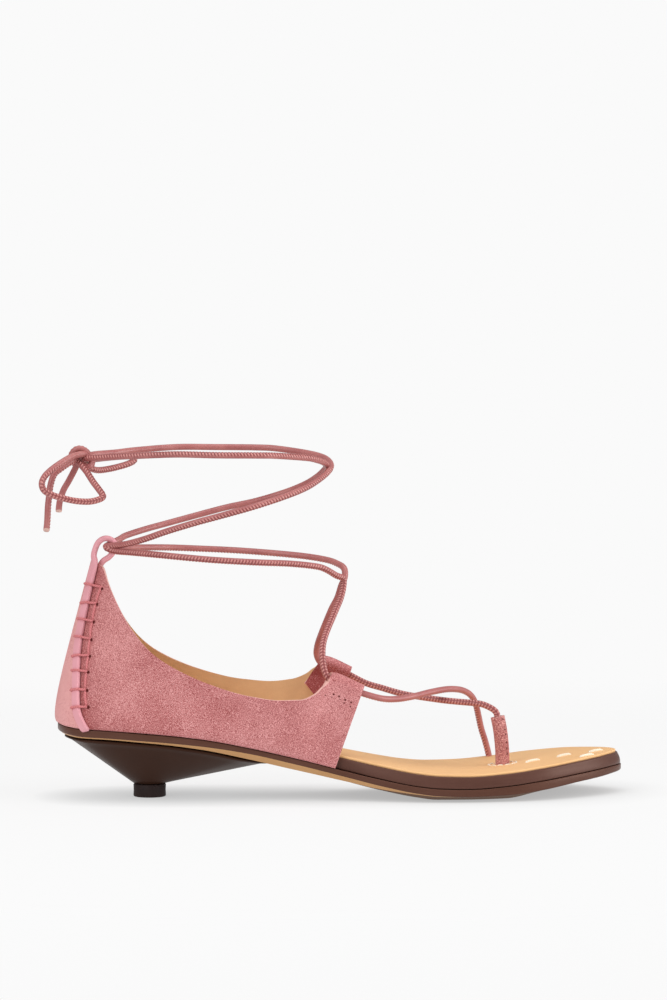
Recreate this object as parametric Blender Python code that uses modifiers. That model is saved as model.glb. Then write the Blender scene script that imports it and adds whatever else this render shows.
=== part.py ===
"""Kitten heel sandal: a wrapped suede counter with folded lace tabs, a layered sole, a low wedge heel,
a toe post, and lace ties that cross the instep, run through a loop at the back and close round the ankle.

Right shoe. Metres, +Z up, +X towards the toe, lateral side at -Y. The tables are in millimetres on the last,
with x counted from the back of the counter, and are scaled by MM where they are read.
"""

import math

import bmesh
import bpy
import numpy as np
from mathutils import Vector

MM = 0.001
NAME = "kitten_heel_sandal"

# Place of the last's zero in the part's frame: the origin is on the floor, under the middle of the shoe.
ORIGIN_X = 126.5 * MM
ORIGIN_Y = -1.3 * MM

GAP = 0.3 * MM  # between pieces that touch
WELD = 0.01 * MM
PROBE = 0.02  # step along an outline or the upper from which a slope is taken
SHARP_ANGLE = math.radians(40.0)
SOLE_STATIONS = 40

MIDSOLE_THICKNESS = 5.1 * MM
INSOLE_THICKNESS = 0.8 * MM
TREAD_INSET = 12.0 * MM  # the flat of the tread stops this far inside the outline
BEVEL_INSET = 1.6 * MM

HEEL_TIP_X = 42.1 * MM
HEEL_TIP_RADIUS = 7.2 * MM
HEEL_TIP_HEIGHT = 5.7 * MM
HEEL_TIP_BEVEL = 0.5 * MM
HEEL_TIP_SIDES = 32

WALL = 1.7 * MM  # suede and lining together
WALL_COLUMNS_PER_ROW = 4
WALL_ROWS = 10
WALL_ROW_SPREAD = 1.2  # above 1, the rows lie closer together near the sole
BULGE_RISE = 0.45  # below 1, the wall swells out low down, just above the sole
TAB_ROLL = 3.8 * MM  # outer radius of the fold that the lace runs through
TAB_FLAP = 15.0 * MM  # from the fold's centre down to the end of the flap
TAB_CLOSED = 7.0 * MM  # the flap lies against the wall from this far down
TAB_FLARE = 7.0 * MM  # the flap's end reaches this much further back than the fold
TAB_ROLL_STEPS = 7
TAB_FLAP_STEPS = 4

LACE_DIAMETER = 2.8 * MM
PIPING_DIAMETER = 2.4 * MM
PIPING_SWELL = 1.25  # the piping is this much thicker on the seam than in its loop
POST_DIAMETER = 6.2 * MM
KNOT_SIZE = (10.5 * MM, 9.0 * MM, 12.0 * MM)
KNOT_CLEARANCE = 1.1 * MM  # from the knot to the cords that come out of it
TAB_MEET = 0.5  # share of the tab's length where the toe and instep stretches of lace meet inside it
TAB_MEET_GAP = 0.03
TAB_TUNNEL_STEPS = 4

# The sole, a row for each section: sides of the outline, then heights of the rim of the painted edge,
# its lower line, the lower line of the bare bevel and the tread.
SOLE_COLUMNS = ("x", "lateral", "medial", "rim", "edge", "bevel", "tread")
SOLE_ROWS = (
    (1.6, 0.0, 0.0, 33.2, 30.5, 29.7, 28.6),
    (6.0, -16.8, 16.8, 32.4, 29.6, 28.6, 28.0),
    (11.0, -21.2, 21.2, 31.9, 29.1, 28.0, 27.7),
    (20.0, -24.8, 24.8, 31.5, 28.7, 27.7, 27.3),
    (41.0, -27.3, 27.0, 29.9, 27.2, 26.0, 25.7),
    (63.0, -26.9, 25.0, 27.4, 24.8, 23.1, 22.8),
    (85.0, -25.4, 20.6, 23.1, 20.8, 18.3, 17.9),
    (106.0, -25.4, 17.8, 18.2, 15.8, 13.3, 12.7),
    (126.0, -28.0, 17.2, 13.2, 10.8, 8.8, 7.9),
    (141.0, -31.6, 18.6, 9.9, 7.1, 5.6, 4.2),
    (158.0, -36.0, 22.6, 6.8, 4.1, 3.1, 1.0),
    (167.0, -37.4, 25.6, 5.9, 3.2, 2.4, 0.0),
    (180.0, -38.0, 30.2, 5.6, 2.7, 2.1, 0.0),
    (198.0, -36.4, 34.0, 6.7, 3.4, 2.5, 0.0),
    (212.0, -33.0, 35.4, 8.3, 5.0, 4.0, 1.6),
    (231.0, -23.0, 30.6, 10.5, 7.4, 6.8, 5.0),
    (241.0, -15.2, 22.8, 11.5, 8.5, 8.0, 6.8),
    (248.0, -7.6, 15.6, 12.0, 9.2, 8.7, 7.9),
    (253.0, 4.2, 4.2, 12.2, 9.5, 9.1, 8.5),
)

# How far each layer stands inside the outsole's outline. Under the suede it leaves room for the wall.
INSET_COLUMNS = ("x", "midsole_foot", "midsole_top", "insole")
INSET_ROWS = (
    (1.6, 2.7, 2.7, 3.6),
    (126.0, 2.7, 2.7, 3.6),
    (137.0, 0.9, 1.5, 2.4),
    (150.0, 0.3, 1.1, 2.0),
    (215.0, 0.3, 1.2, 2.0),
    (253.0, 0.3, 2.4, 3.2),
)

# Outline of the heel's seat under the outsole, from its back to the thin front end of the wedge.
SEAT_COLUMNS = ("x", "lateral", "medial")
SEAT_ROWS = (
    (4.6, 0.0, 0.0),
    (12.0, -19.4, 19.4),
    (25.0, -23.8, 23.7),
    (45.0, -25.4, 25.0),
    (65.0, -24.8, 22.8),
    (82.0, -21.0, 17.6),
    (94.0, -12.0, 10.0),
    (100.0, 0.0, 0.0),
)

# The upper, a row for each section from the back of the heel to the front edge: where the section stands
# on the outline, then the outer edge of the topline, and how far the wall swells.
UPPER_COLUMNS = ("base_x", "top_x", "top_y", "top_z", "bulge")
COUNTER_ROWS = (
    (1.6, 16.4, 0.0, 104.6, 2.8),
    (7.0, 20.9, 4.9, 102.2, 2.7),
    (15.5, 24.0, 9.8, 93.8, 2.5),
    (27.0, 32.7, 17.8, 76.4, 2.0),
)
LATERAL_ROWS = (
    (38.5, 43.5, 23.4, 64.1, 1.7),
    (57.0, 62.9, 26.8, 53.4, 1.4),
    (77.5, 84.6, 27.8, 46.3, 1.2),
    (89.5, 97.5, 28.2, 44.4, 1.1),
    (98.5, 106.5, 28.2, 44.5, 1.0),
    (104.5, 113.2, 27.6, 46.8, 1.0),
    (108.0, 117.7, 26.6, 50.6, 0.9),
    (111.5, 121.5, 25.0, 52.5, 0.8),
    (122.1, 134.0, 25.7, 47.3, 0.6),
)
MEDIAL_ROWS = (
    (38.5, 43.5, 23.2, 64.8, 1.7),
    (57.0, 62.9, 26.4, 55.0, 1.4),
    (77.5, 84.0, 27.0, 49.3, 1.2),
    (90.0, 98.0, 27.0, 47.9, 1.1),
    (98.5, 107.0, 26.8, 48.7, 1.0),
    (104.5, 113.7, 26.4, 51.0, 1.0),
    (108.0, 117.9, 25.8, 53.9, 0.9),
    (111.5, 121.7, 24.7, 55.4, 0.8),
    (122.0, 132.0, 24.7, 50.8, 0.6),
)

# The seam's piping on the upper: height up the wall, and place round it in rows from the back of the heel.
SEAM_COLUMNS = ("up", "round")
SEAM_ROWS = ((0.0, -1.55), (0.1, -1.30), (0.45, -1.05), (0.75, -0.85), (1.0, -0.62))
SEAM_FOOT = 0.03  # the piping starts just above the sole
SEAM_STEPS = 12
SEAM_SPREAD = 1.5  # above 1, the piping's points lie closer together near the sole
SEAM_SHARE = 0.78  # share of the back cord that lies on the seam
SEAM_TAPER = 0.1  # share of it over which the piping thins to its loop

# Routes of the cords, chosen by hand, in millimetres.
LOOP_ROUTE = (
    (17.6, -2.0, 106.6), (18.2, -0.4, 109.2), (19.4, 0.0, 112.0), (21.2, 0.0, 113.7),
    (23.4, 0.0, 114.2), (25.6, 0.0, 113.4), (27.0, 0.0, 111.4), (26.5, 0.0, 108.6),
    (24.4, 0.0, 106.0), (21.8, 0.0, 104.2),
)
POST_ROUTE = ((198.6, -5.0, 13.8), (198.4, -5.0, 20.0), (197.6, -4.8, 28.0), (196.4, -4.5, 34.4))
TOE_LATERAL_ROUTE = (
    (143.4, -19.0, 44.2), (151.0, -14.0, 43.5), (158.7, -8.5, 44.1), (166.5, -2.0, 45.2),
    (174.5, 5.0, 45.8), (180.5, 10.5, 45.2), (184.6, 14.5, 43.7), (187.6, 17.5, 41.2),
    (189.8, 20.5, 37.1), (191.4, 24.0, 31.8), (192.9, 26.6, 26.1), (195.0, 28.4, 19.9),
    (196.6, 29.2, 14.0),
)
TOE_MEDIAL_ROUTE = (
    (140.0, 19.5, 47.5), (147.1, 18.0, 45.4), (154.0, 15.0, 43.5), (160.8, 11.5, 42.3),
    (174.4, 4.5, 40.8), (186.3, -1.0, 40.1), (189.7, -2.5, 39.7), (192.6, -3.6, 38.6),
    (195.0, -4.3, 37.1), (196.2, -4.5, 35.2),
)
INSTEP_LATERAL_ROUTE = (
    (119.2, -21.4, 53.9), (117.5, -20.7, 58.6), (117.3, -18.0, 66.1), (119.1, -14.0, 72.4),
    (124.1, -7.0, 82.4), (126.6, -3.5, 87.5), (128.0, -1.0, 92.6), (127.8, -1.0, 96.0),
    (124.4, -4.5, 97.6), (119.6, -9.0, 100.5), (114.9, -12.0, 102.1), (102.9, -19.0, 103.8),
    (87.6, -24.5, 104.8), (70.0, -26.5, 106.0), (57.0, -25.0, 107.1), (44.2, -19.0, 108.1),
    (34.0, -10.5, 108.6), (27.4, -4.1, 108.8), (24.4, -2.1, 109.6), (23.1, 0.0, 110.4),
    (24.4, 2.1, 111.4), (27.4, 4.1, 112.7), (29.0, 5.6, 113.4),
)
INSTEP_MEDIAL_ROUTE = (
    (119.6, 21.0, 56.9), (118.0, 20.4, 60.0), (117.9, 18.0, 64.0), (119.4, 13.5, 70.2),
    (123.2, 6.5, 81.4), (125.7, 3.5, 87.0), (127.2, 1.0, 92.5), (128.8, 1.0, 96.5),
    (128.6, 3.2, 100.3), (125.5, 8.0, 102.3), (121.4, 12.0, 103.5), (112.9, 17.5, 104.7),
    (99.9, 23.0, 105.8), (82.2, 27.0, 107.0), (64.3, 27.5, 107.9), (50.6, 23.0, 108.7),
    (36.9, 13.5, 109.3), (27.4, 4.1, 109.7), (24.4, 2.1, 110.2), (23.1, 0.0, 110.7),
    (24.4, -2.1, 111.0), (27.4, -4.1, 111.4), (29.0, -5.6, 111.6),
)
ANKLE_OUTER_ROUTE = (
    (29.5, -6.1, 111.7), (33.0, -10.4, 112.6), (40.0, -17.0, 115.0), (48.4, -22.5, 118.3),
    (61.2, -28.0, 122.5), (74.2, -30.0, 126.1), (87.3, -29.0, 129.7), (100.8, -24.0, 133.8),
    (110.1, -17.5, 137.1), (116.9, -10.0, 140.7), (120.9, -4.0, 143.5), (122.5, 0.0, 145.5),
    (122.1, 5.0, 147.6), (119.5, 11.0, 149.4), (113.0, 18.5, 150.9), (100.2, 27.0, 152.6),
    (91.4, 29.5, 153.0), (73.5, 30.0, 153.2), (55.3, 26.5, 153.4), (37.1, 18.0, 152.4),
    (28.0, 12.0, 151.6), (19.9, 6.5, 151.2), (16.4, 3.6, 150.8),
)
ANKLE_INNER_ROUTE = (
    (29.5, 6.1, 113.6), (32.6, 9.8, 115.0), (41.4, 17.0, 117.3), (50.6, 22.5, 119.4),
    (64.3, 28.0, 122.7), (77.9, 30.0, 126.1), (91.4, 29.5, 129.0), (104.5, 25.0, 133.2),
    (113.0, 18.5, 137.2), (117.7, 11.0, 140.9), (120.1, 5.0, 143.9), (120.6, 0.0, 145.6),
    (119.0, -4.5, 147.5), (115.0, -11.0, 149.0), (110.2, -15.5, 150.0), (96.4, -24.5, 151.3),
    (87.4, -28.0, 151.6), (69.9, -29.5, 151.8), (52.7, -26.5, 152.1), (35.6, -18.0, 151.2),
    (27.1, -12.0, 150.6), (19.4, -6.5, 150.0), (16.1, -3.6, 149.9),
)
KNOT_CENTRE = (12.5, 0.0, 149.7)
BOW_ROUTES = (
    (
        (10.6, -4.6, 152.4), (6.6, -8.5, 150.4), (0.3, -13.0, 146.2), (-3.8, -16.0, 142.7),
        (-5.4, -18.0, 139.4), (-4.5, -19.0, 136.4), (-1.5, -20.0, 134.6), (3.1, -20.0, 133.1),
        (9.2, -19.0, 131.7), (15.4, -17.0, 131.3), (20.0, -15.0, 132.3), (21.3, -14.0, 133.6),
        (19.6, -12.0, 136.3), (17.2, -9.0, 139.5), (14.4, -5.6, 143.9),
    ),
    (
        (17.0, 3.0, 144.9), (20.8, 7.6, 144.0), (27.1, 12.6, 144.8), (33.5, 16.5, 146.4),
        (36.4, 19.6, 148.0), (35.0, 21.6, 149.4), (30.0, 20.2, 149.4), (23.0, 15.4, 149.0),
        (17.2, 10.6, 148.6), (13.4, 5.4, 148.4),
    ),
)
END_ROUTES = (
    (
        (7.4, -3.4, 148.0), (2.8, -6.0, 145.0), (0.1, -7.0, 142.6), (-1.5, -8.0, 137.8),
        (-2.1, -8.5, 133.1), (-2.6, -9.0, 128.6), (-2.9, -9.0, 122.5), (-3.3, -9.0, 118.5),
    ),
    (
        (9.6, 2.6, 144.8), (7.0, 5.0, 139.6), (4.6, 6.0, 135.3), (3.1, 6.5, 130.9),
        (2.6, 7.0, 127.8), (2.5, 7.0, 126.0),
    ),
)

CORD_SAMPLES = 10  # fine points tried on each span of a route
CORD_MOST_TURN = math.radians(13.0)
CORD_MOST_STEP = 9.0 * MM
CORD_BEVEL_RESOLUTION = 2

# Colour, roughness
FINISHES = {
    "pink_suede": ((0.48, 0.13, 0.15), 0.95),
    "pink_leather": ((0.52, 0.17, 0.20), 0.55),
    "pink_lace": ((0.40, 0.10, 0.11), 0.50),
    "brown_edge": ((0.050, 0.026, 0.022), 0.45),
    "brown_platform": ((0.060, 0.030, 0.024), 0.50),
    "brown_heel": ((0.038, 0.020, 0.016), 0.35),
    "tan_leather": ((0.68, 0.41, 0.19), 0.60),
    "black_rubber": ((0.022, 0.014, 0.012), 0.60),
}


def clear_scene():
    for obj in list(bpy.data.objects):
        bpy.data.objects.remove(obj, do_unlink=True)


def new_collection(name):
    collection = bpy.data.collections.new(name)
    bpy.context.scene.collection.children.link(collection)
    return collection


def finish(name):
    """The named Principled material, made on first use."""
    if name in bpy.data.materials:
        return bpy.data.materials[name]
    colour, roughness = FINISHES[name]
    material = bpy.data.materials.new(name)
    material.use_nodes = True
    shader = material.node_tree.nodes["Principled BSDF"]
    shader.inputs["Base Color"].default_value = (*colour, 1.0)
    shader.inputs["Roughness"].default_value = roughness
    shader.inputs["Metallic"].default_value = 0.0
    return material


def monotone_curve(knots, values):
    """A smooth function through the knots that is flat between equal values and never overshoots."""
    knots = np.asarray(knots, float)
    values = np.asarray(values, float)
    step = np.diff(knots)
    slope = np.diff(values) / step
    tangent = np.zeros_like(values)
    tangent[0] = slope[0]
    tangent[-1] = slope[-1]
    for i in range(1, len(values) - 1):
        if slope[i - 1] * slope[i] > 0.0:
            before = 2.0 * step[i] + step[i - 1]
            after = step[i] + 2.0 * step[i - 1]
            tangent[i] = (before + after) / (before / slope[i - 1] + after / slope[i])

    def at(place):
        i = min(max(int(np.searchsorted(knots, place)) - 1, 0), len(step) - 1)
        t = (place - knots[i]) / step[i]
        rise = t * t * (3.0 - 2.0 * t)
        lead = t * (1.0 - t) ** 2 * tangent[i] * step[i]
        trail = t * t * (t - 1.0) * tangent[i + 1] * step[i]
        return float(values[i] * (1.0 - rise) + values[i + 1] * rise + lead + trail)

    return at


class Outline:
    """A closed plan shape with rounded ends, from a table of sections.

    A place on it is an angle: 0 at the back end, -pi or pi at the front end, negative on the lateral side.
    """

    def __init__(self, columns, rows):
        table = dict(zip(columns, np.array(rows).T * MM))
        self.back = table["x"][0]
        self.length = table["x"][-1] - self.back
        angles = [self.angle(x) for x in table["x"]]
        self.read = {name: monotone_curve(angles, table[name]) for name in columns}

    def angle(self, x):
        along = min(max((x - self.back) / self.length, 0.0), 1.0)
        return math.acos(1.0 - 2.0 * along)

    def height(self, column, x):
        return self.read[column](self.angle(x))

    def point(self, angle):
        """Plan point on the outline."""
        side = "lateral" if angle < 0.0 else "medial"
        x = self.back + self.length * (1.0 - math.cos(angle)) / 2.0
        return Vector((x, self.read[side](abs(angle)), 0.0))

    def outward(self, angle):
        """Unit plan normal, pointing away from the inside."""
        along = self.point(angle + PROBE) - self.point(angle - PROBE)
        return Vector((-along.y, along.x, 0.0)).normalized()

    def angles(self, stations):
        """Angles once round: the back, the lateral side, the front, the medial side back again."""
        step = math.pi / stations
        lateral = [-step * i for i in range(stations)]
        medial = [step * i for i in range(stations, 0, -1)]
        return lateral + medial

    def ring(self, stations, inset, height):
        """Points once round, moved in by inset(x) and lifted to height(x)."""
        points = []
        for angle in self.angles(stations):
            place = self.point(angle)
            moved = place - self.outward(angle) * inset(place.x)
            points.append(Vector((moved.x, moved.y, height(moved.x))))
        return points


SOLE = Outline(SOLE_COLUMNS, SOLE_ROWS)
SEAT = Outline(SEAT_COLUMNS, SEAT_ROWS)
INSETS = dict(zip(INSET_COLUMNS, np.array(INSET_ROWS).T * MM))
INSET = {name: monotone_curve(INSETS["x"], INSETS[name]) for name in INSET_COLUMNS[1:]}


def rim_height(x):
    return SOLE.height("rim", x)


def midsole_height(x):
    """Top of the midsole."""
    return rim_height(x) + GAP + MIDSOLE_THICKNESS


def add_mesh_object(name, points, faces, finish_name, collection, parent):
    mesh = bpy.data.meshes.new(name)
    mesh.from_pydata([tuple(p) for p in points], [], faces)
    mesh.validate()
    mesh.shade_smooth()
    mesh.set_sharp_from_angle(angle=SHARP_ANGLE)
    obj = bpy.data.objects.new(name, mesh)
    obj.data.materials.append(finish(finish_name))
    obj.parent = parent
    collection.objects.link(obj)
    return obj


def layer(rings):
    """Points and faces of a closed layer lofted through rings, lowest first.

    The two ends are closed in strips that join each lateral point to the medial point across from it.
    """
    count = len(rings[0])
    half = count // 2
    points = [point for ring in rings for point in ring]
    faces = []
    for level in range(len(rings) - 1):
        low = level * count
        high = low + count
        for i in range(count):
            after = (i + 1) % count
            faces.append((low + i, low + after, high + after, high + i))
    strips = [(0, 1, count - 1), (half - 1, half, half + 1)]
    strips += [(i, i + 1, count - i - 1, count - i) for i in range(1, half - 1)]
    top = (len(rings) - 1) * count
    faces += [tuple(top + i for i in strip) for strip in strips]
    faces += [tuple(reversed(strip)) for strip in strips]
    return points, faces


def add_outsole(collection, parent):
    rings = (
        SOLE.ring(SOLE_STATIONS, lambda x: TREAD_INSET, lambda x: SOLE.height("tread", x)),
        SOLE.ring(SOLE_STATIONS, lambda x: BEVEL_INSET, lambda x: SOLE.height("bevel", x)),
        SOLE.ring(SOLE_STATIONS, lambda x: 0.0, lambda x: SOLE.height("edge", x)),
        SOLE.ring(SOLE_STATIONS, lambda x: 0.0, rim_height),
    )
    add_mesh_object("outsole", *layer(rings), "brown_edge", collection, parent)


def add_midsole(collection, parent):
    rings = (
        SOLE.ring(SOLE_STATIONS, INSET["midsole_foot"], lambda x: rim_height(x) + GAP),
        SOLE.ring(SOLE_STATIONS, INSET["midsole_top"], midsole_height),
    )
    add_mesh_object("midsole", *layer(rings), "brown_platform", collection, parent)


def add_insole(collection, parent):
    rings = (
        SOLE.ring(SOLE_STATIONS, INSET["insole"], lambda x: midsole_height(x) + GAP),
        SOLE.ring(SOLE_STATIONS, INSET["insole"], lambda x: midsole_height(x) + GAP + INSOLE_THICKNESS),
    )
    add_mesh_object("insole", *layer(rings), "tan_leather", collection, parent)


def add_heel(collection, parent):
    """A ruled cone from the seat's outline down to the round top piece."""
    seat = SEAT.ring(SOLE_STATIONS, lambda x: 0.0, lambda x: SOLE.height("tread", x) - GAP)
    centre = Vector((HEEL_TIP_X, 0.0, HEEL_TIP_HEIGHT + GAP))
    foot = []
    for point in seat:
        spoke = Vector((point.x - centre.x, point.y, 0.0)).normalized()
        foot.append(centre + spoke * HEEL_TIP_RADIUS)
    add_mesh_object("heel", *layer((foot, seat)), "brown_heel", collection, parent)


def add_heel_tip(collection, parent):
    mesh = bmesh.new()
    bmesh.ops.create_cone(
        mesh,
        cap_ends=True,
        segments=HEEL_TIP_SIDES,
        radius1=HEEL_TIP_RADIUS,
        radius2=HEEL_TIP_RADIUS,
        depth=HEEL_TIP_HEIGHT,
    )
    data = bpy.data.meshes.new("heel_tip")
    mesh.to_mesh(data)
    mesh.free()
    tip = bpy.data.objects.new("heel_tip", data)
    tip.data.materials.append(finish("black_rubber"))
    tip.parent = parent
    tip.location = (HEEL_TIP_X, 0.0, HEEL_TIP_HEIGHT / 2.0)
    collection.objects.link(tip)
    edge = tip.modifiers.new("worn edge", "BEVEL")
    edge.width = HEEL_TIP_BEVEL
    edge.segments = 2


class Upper:
    """The outer face of the suede wall, as a function of place round it and height up it.

    A place round it counts table rows from the back of the heel, negative on the lateral side. A height
    up it runs from 0 on the sole to 1 on the topline.
    """

    def __init__(self):
        lateral = np.array(COUNTER_ROWS + LATERAL_ROWS)
        medial = np.array(COUNTER_ROWS + MEDIAL_ROWS)
        self.front = len(medial) - 1
        places = np.arange(-self.front, self.front + 1)
        lateral[:, UPPER_COLUMNS.index("top_y")] *= -1.0
        rows = np.concatenate([lateral[:0:-1], medial]) * MM
        table = dict(zip(UPPER_COLUMNS, rows.T))
        angles = [math.copysign(SOLE.angle(x), place) for x, place in zip(table["base_x"], places)]
        self.angle = monotone_curve(places, angles)
        self.read = {name: monotone_curve(places, table[name]) for name in UPPER_COLUMNS[1:]}

    def point(self, place, up):
        angle = self.angle(place)
        base = SOLE.point(angle)
        base.z = rim_height(base.x) + GAP
        top = Vector([self.read[name](place) for name in ("top_x", "top_y", "top_z")])
        swell = self.read["bulge"](place) * math.sin(math.pi * up**BULGE_RISE)
        return base.lerp(top, up) + SOLE.outward(angle) * swell

    def tangents(self, place, up):
        """Unit directions round the wall towards the medial front, up it, and out of it."""
        round_it = self.point(place + PROBE, up) - self.point(place - PROBE, up)
        up_it = self.point(place, min(up + PROBE, 1.0)) - self.point(place, max(up - PROBE, 0.0))
        outward = up_it.cross(round_it).normalized()
        round_it.normalize()
        return round_it, round_it.cross(outward).normalized(), outward

    def tab_row(self, place):
        """Points over a tab's fold and down its flap, from the topline at this place inwards."""
        top = self.point(place, 1.0)
        round_it, upward, outward = self.tangents(place, 1.0)
        backward = round_it * -math.copysign(self.front - abs(place), place)
        centre = top - outward * TAB_ROLL
        points = []
        for i in range(1, TAB_ROLL_STEPS + 1):
            turn = math.pi * i / TAB_ROLL_STEPS
            points.append(centre + (outward * math.cos(turn) + upward * math.sin(turn)) * TAB_ROLL)
        against_wall = 2.0 * WALL + GAP
        for i in range(1, TAB_FLAP_STEPS + 1):
            down = TAB_FLAP * i / TAB_FLAP_STEPS
            closing = min(down / TAB_CLOSED, 1.0)
            inward = 2.0 * TAB_ROLL * (1.0 - closing) + against_wall * closing
            flare = backward * TAB_FLARE * down / TAB_FLAP
            points.append(top - outward * inward - upward * down + flare)
        return points

    def tab_axis(self, side, along):
        """Centre of a tab's fold, from its rear end at 0 to its front end at 1."""
        place = side * (self.front - 1 + along)
        return self.point(place, 1.0) - self.tangents(place, 1.0)[2] * TAB_ROLL


UPPER = Upper()


def add_upper(collection, parent):
    """One shell: the wall's grid, with each tab's fold and flap joined on along the topline."""
    columns = 2 * UPPER.front * WALL_COLUMNS_PER_ROW
    places = [i / WALL_COLUMNS_PER_ROW - UPPER.front for i in range(columns + 1)]
    heights = [(j / WALL_ROWS) ** WALL_ROW_SPREAD for j in range(WALL_ROWS + 1)]
    points = [UPPER.point(place, up) for place in places for up in heights]
    faces = []
    tall = WALL_ROWS + 1
    for i in range(columns):
        for j in range(WALL_ROWS):
            low = i * tall + j
            faces.append((low, low + 1, low + tall + 1, low + tall))
    tab_starts = (0, columns - WALL_COLUMNS_PER_ROW)
    for start in tab_starts:
        columns_here = range(start, start + WALL_COLUMNS_PER_ROW + 1)
        strips = []
        for i in columns_here:
            first = len(points)
            row = UPPER.tab_row(places[i])
            points += row
            strips.append([i * tall + WALL_ROWS, *range(first, first + len(row))])
        for left, right in zip(strips, strips[1:]):
            for j in range(len(left) - 1):
                faces.append((left[j], left[j + 1], right[j + 1], right[j]))
    upper = add_mesh_object("upper", points, faces, "pink_suede", collection, parent)
    shell = upper.modifiers.new("wall", "SOLIDIFY")
    shell.thickness = WALL
    shell.offset = -1.0
    shell.use_quality_normals = True


def smooth_route(route):
    """Points on a smooth curve through a route, closer together where it turns."""
    knots = [Vector(p) for p in route]
    ends = [2.0 * knots[0] - knots[1], *knots, 2.0 * knots[-1] - knots[-2]]
    fine = []
    for before, start, stop, after in zip(ends, ends[1:], ends[2:], ends[3:]):
        leave = (stop - before) / 2.0
        arrive = (after - start) / 2.0
        for i in range(CORD_SAMPLES):
            t = i / CORD_SAMPLES
            rise = t * t * (3.0 - 2.0 * t)
            pull = leave * (t * (1.0 - t) ** 2) + arrive * (t * t * (t - 1.0))
            fine.append(start.lerp(stop, rise) + pull)
    fine.append(knots[-1])
    kept = [fine[0]]
    heading = fine[1] - fine[0]
    for point, onward in zip(fine[1:], fine[2:]):
        turned = heading.angle(onward - point) > CORD_MOST_TURN
        if turned or (point - kept[-1]).length > CORD_MOST_STEP:
            kept.append(point)
            heading = onward - point
    kept.append(fine[-1])
    return kept


def scaled(route):
    return [Vector(point) * MM for point in route]


def add_cord(name, route, diameter, finish_name, collection, parent, swell=lambda i: 1.0):
    """A round cord along a route, with swell giving its relative thickness at each kept point."""
    points = smooth_route(route)
    curve = bpy.data.curves.new(name, "CURVE")
    curve.dimensions = "3D"
    curve.bevel_depth = diameter / 2.0
    curve.bevel_resolution = CORD_BEVEL_RESOLUTION
    curve.use_fill_caps = True
    spline = curve.splines.new("POLY")
    spline.points.add(len(points) - 1)
    for i, (knot, point) in enumerate(zip(spline.points, points)):
        knot.co = (*point, 1.0)
        knot.radius = swell(i / (len(points) - 1))
    cord = bpy.data.objects.new(name, curve)
    cord.data.materials.append(finish(finish_name))
    cord.parent = parent
    collection.objects.link(cord)
    return cord


def as_mesh(cord, name, collection, parent):
    """The cord as a closed mesh object, in its place. The curve is removed."""
    bpy.context.view_layer.update()
    evaluated = cord.evaluated_get(bpy.context.evaluated_depsgraph_get())
    mesh = bpy.data.meshes.new_from_object(evaluated)
    edit = bmesh.new()
    edit.from_mesh(mesh)
    bmesh.ops.remove_doubles(edit, verts=edit.verts, dist=WELD)
    bmesh.ops.recalc_face_normals(edit, faces=edit.faces)
    edit.to_mesh(mesh)
    edit.free()
    matrix = cord.matrix_world.copy()
    bpy.data.objects.remove(cord, do_unlink=True)
    solid = bpy.data.objects.new(name, mesh)
    collection.objects.link(solid)
    solid.parent = parent
    solid.matrix_world = matrix
    return solid


def add_joined_cords(name, routes, collection, helpers, parent):
    """Two cords joined where they cross."""
    solids = []
    for i, (route, home) in enumerate(zip(routes, (collection, helpers))):
        title = name if i == 0 else f"{name}_second_strand"
        cord = add_cord(f"{title}_route", route, LACE_DIAMETER, "pink_lace", home, parent)
        solids.append(as_mesh(cord, title, home, parent))
    first, second = solids
    second.hide_render = True
    second.display_type = "WIRE"
    join = first.modifiers.new("joined strands", "BOOLEAN")
    join.operation = "UNION"
    join.solver = "EXACT"
    join.object = second


def add_back_cord(collection, parent):
    """Piping on the seam, from under the counter to its tip, then the loop above it."""
    seam = dict(zip(SEAM_COLUMNS, np.array(SEAM_ROWS).T))
    place_at = monotone_curve(seam["up"], seam["round"])
    stand_off = PIPING_DIAMETER * PIPING_SWELL / 2.0 + GAP
    route = []
    for i in range(SEAM_STEPS + 1):
        up = SEAM_FOOT + (1.0 - SEAM_FOOT) * (i / SEAM_STEPS) ** SEAM_SPREAD
        outward = UPPER.tangents(place_at(up), up)[2]
        route.append(UPPER.point(place_at(up), up) + outward * stand_off)

    def swell(along):
        return 1.0 + (PIPING_SWELL - 1.0) * min(max((SEAM_SHARE - along) / SEAM_TAPER, 0.0), 1.0)

    add_cord(
        "back_cord", route + scaled(LOOP_ROUTE), PIPING_DIAMETER, "pink_leather", collection, parent, swell
    )


def add_toe_post(collection, parent):
    add_cord("toe_post", scaled(POST_ROUTE), POST_DIAMETER, "pink_suede", collection, parent)


def tunnel(side, start, stop):
    """Points along the inside of a tab's fold."""
    shares = [i / TAB_TUNNEL_STEPS for i in range(TAB_TUNNEL_STEPS + 1)]
    return [UPPER.tab_axis(side, start + (stop - start) * share) for share in shares]


def at_knot(end):
    """A cord's end, moved straight in or out until it just clears the knot."""
    centre = Vector(KNOT_CENTRE) * MM
    way = end - centre
    across = Vector([2.0 * reach / size for reach, size in zip(way, KNOT_SIZE)]).length
    return centre + way / across + way.normalized() * KNOT_CLEARANCE


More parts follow.
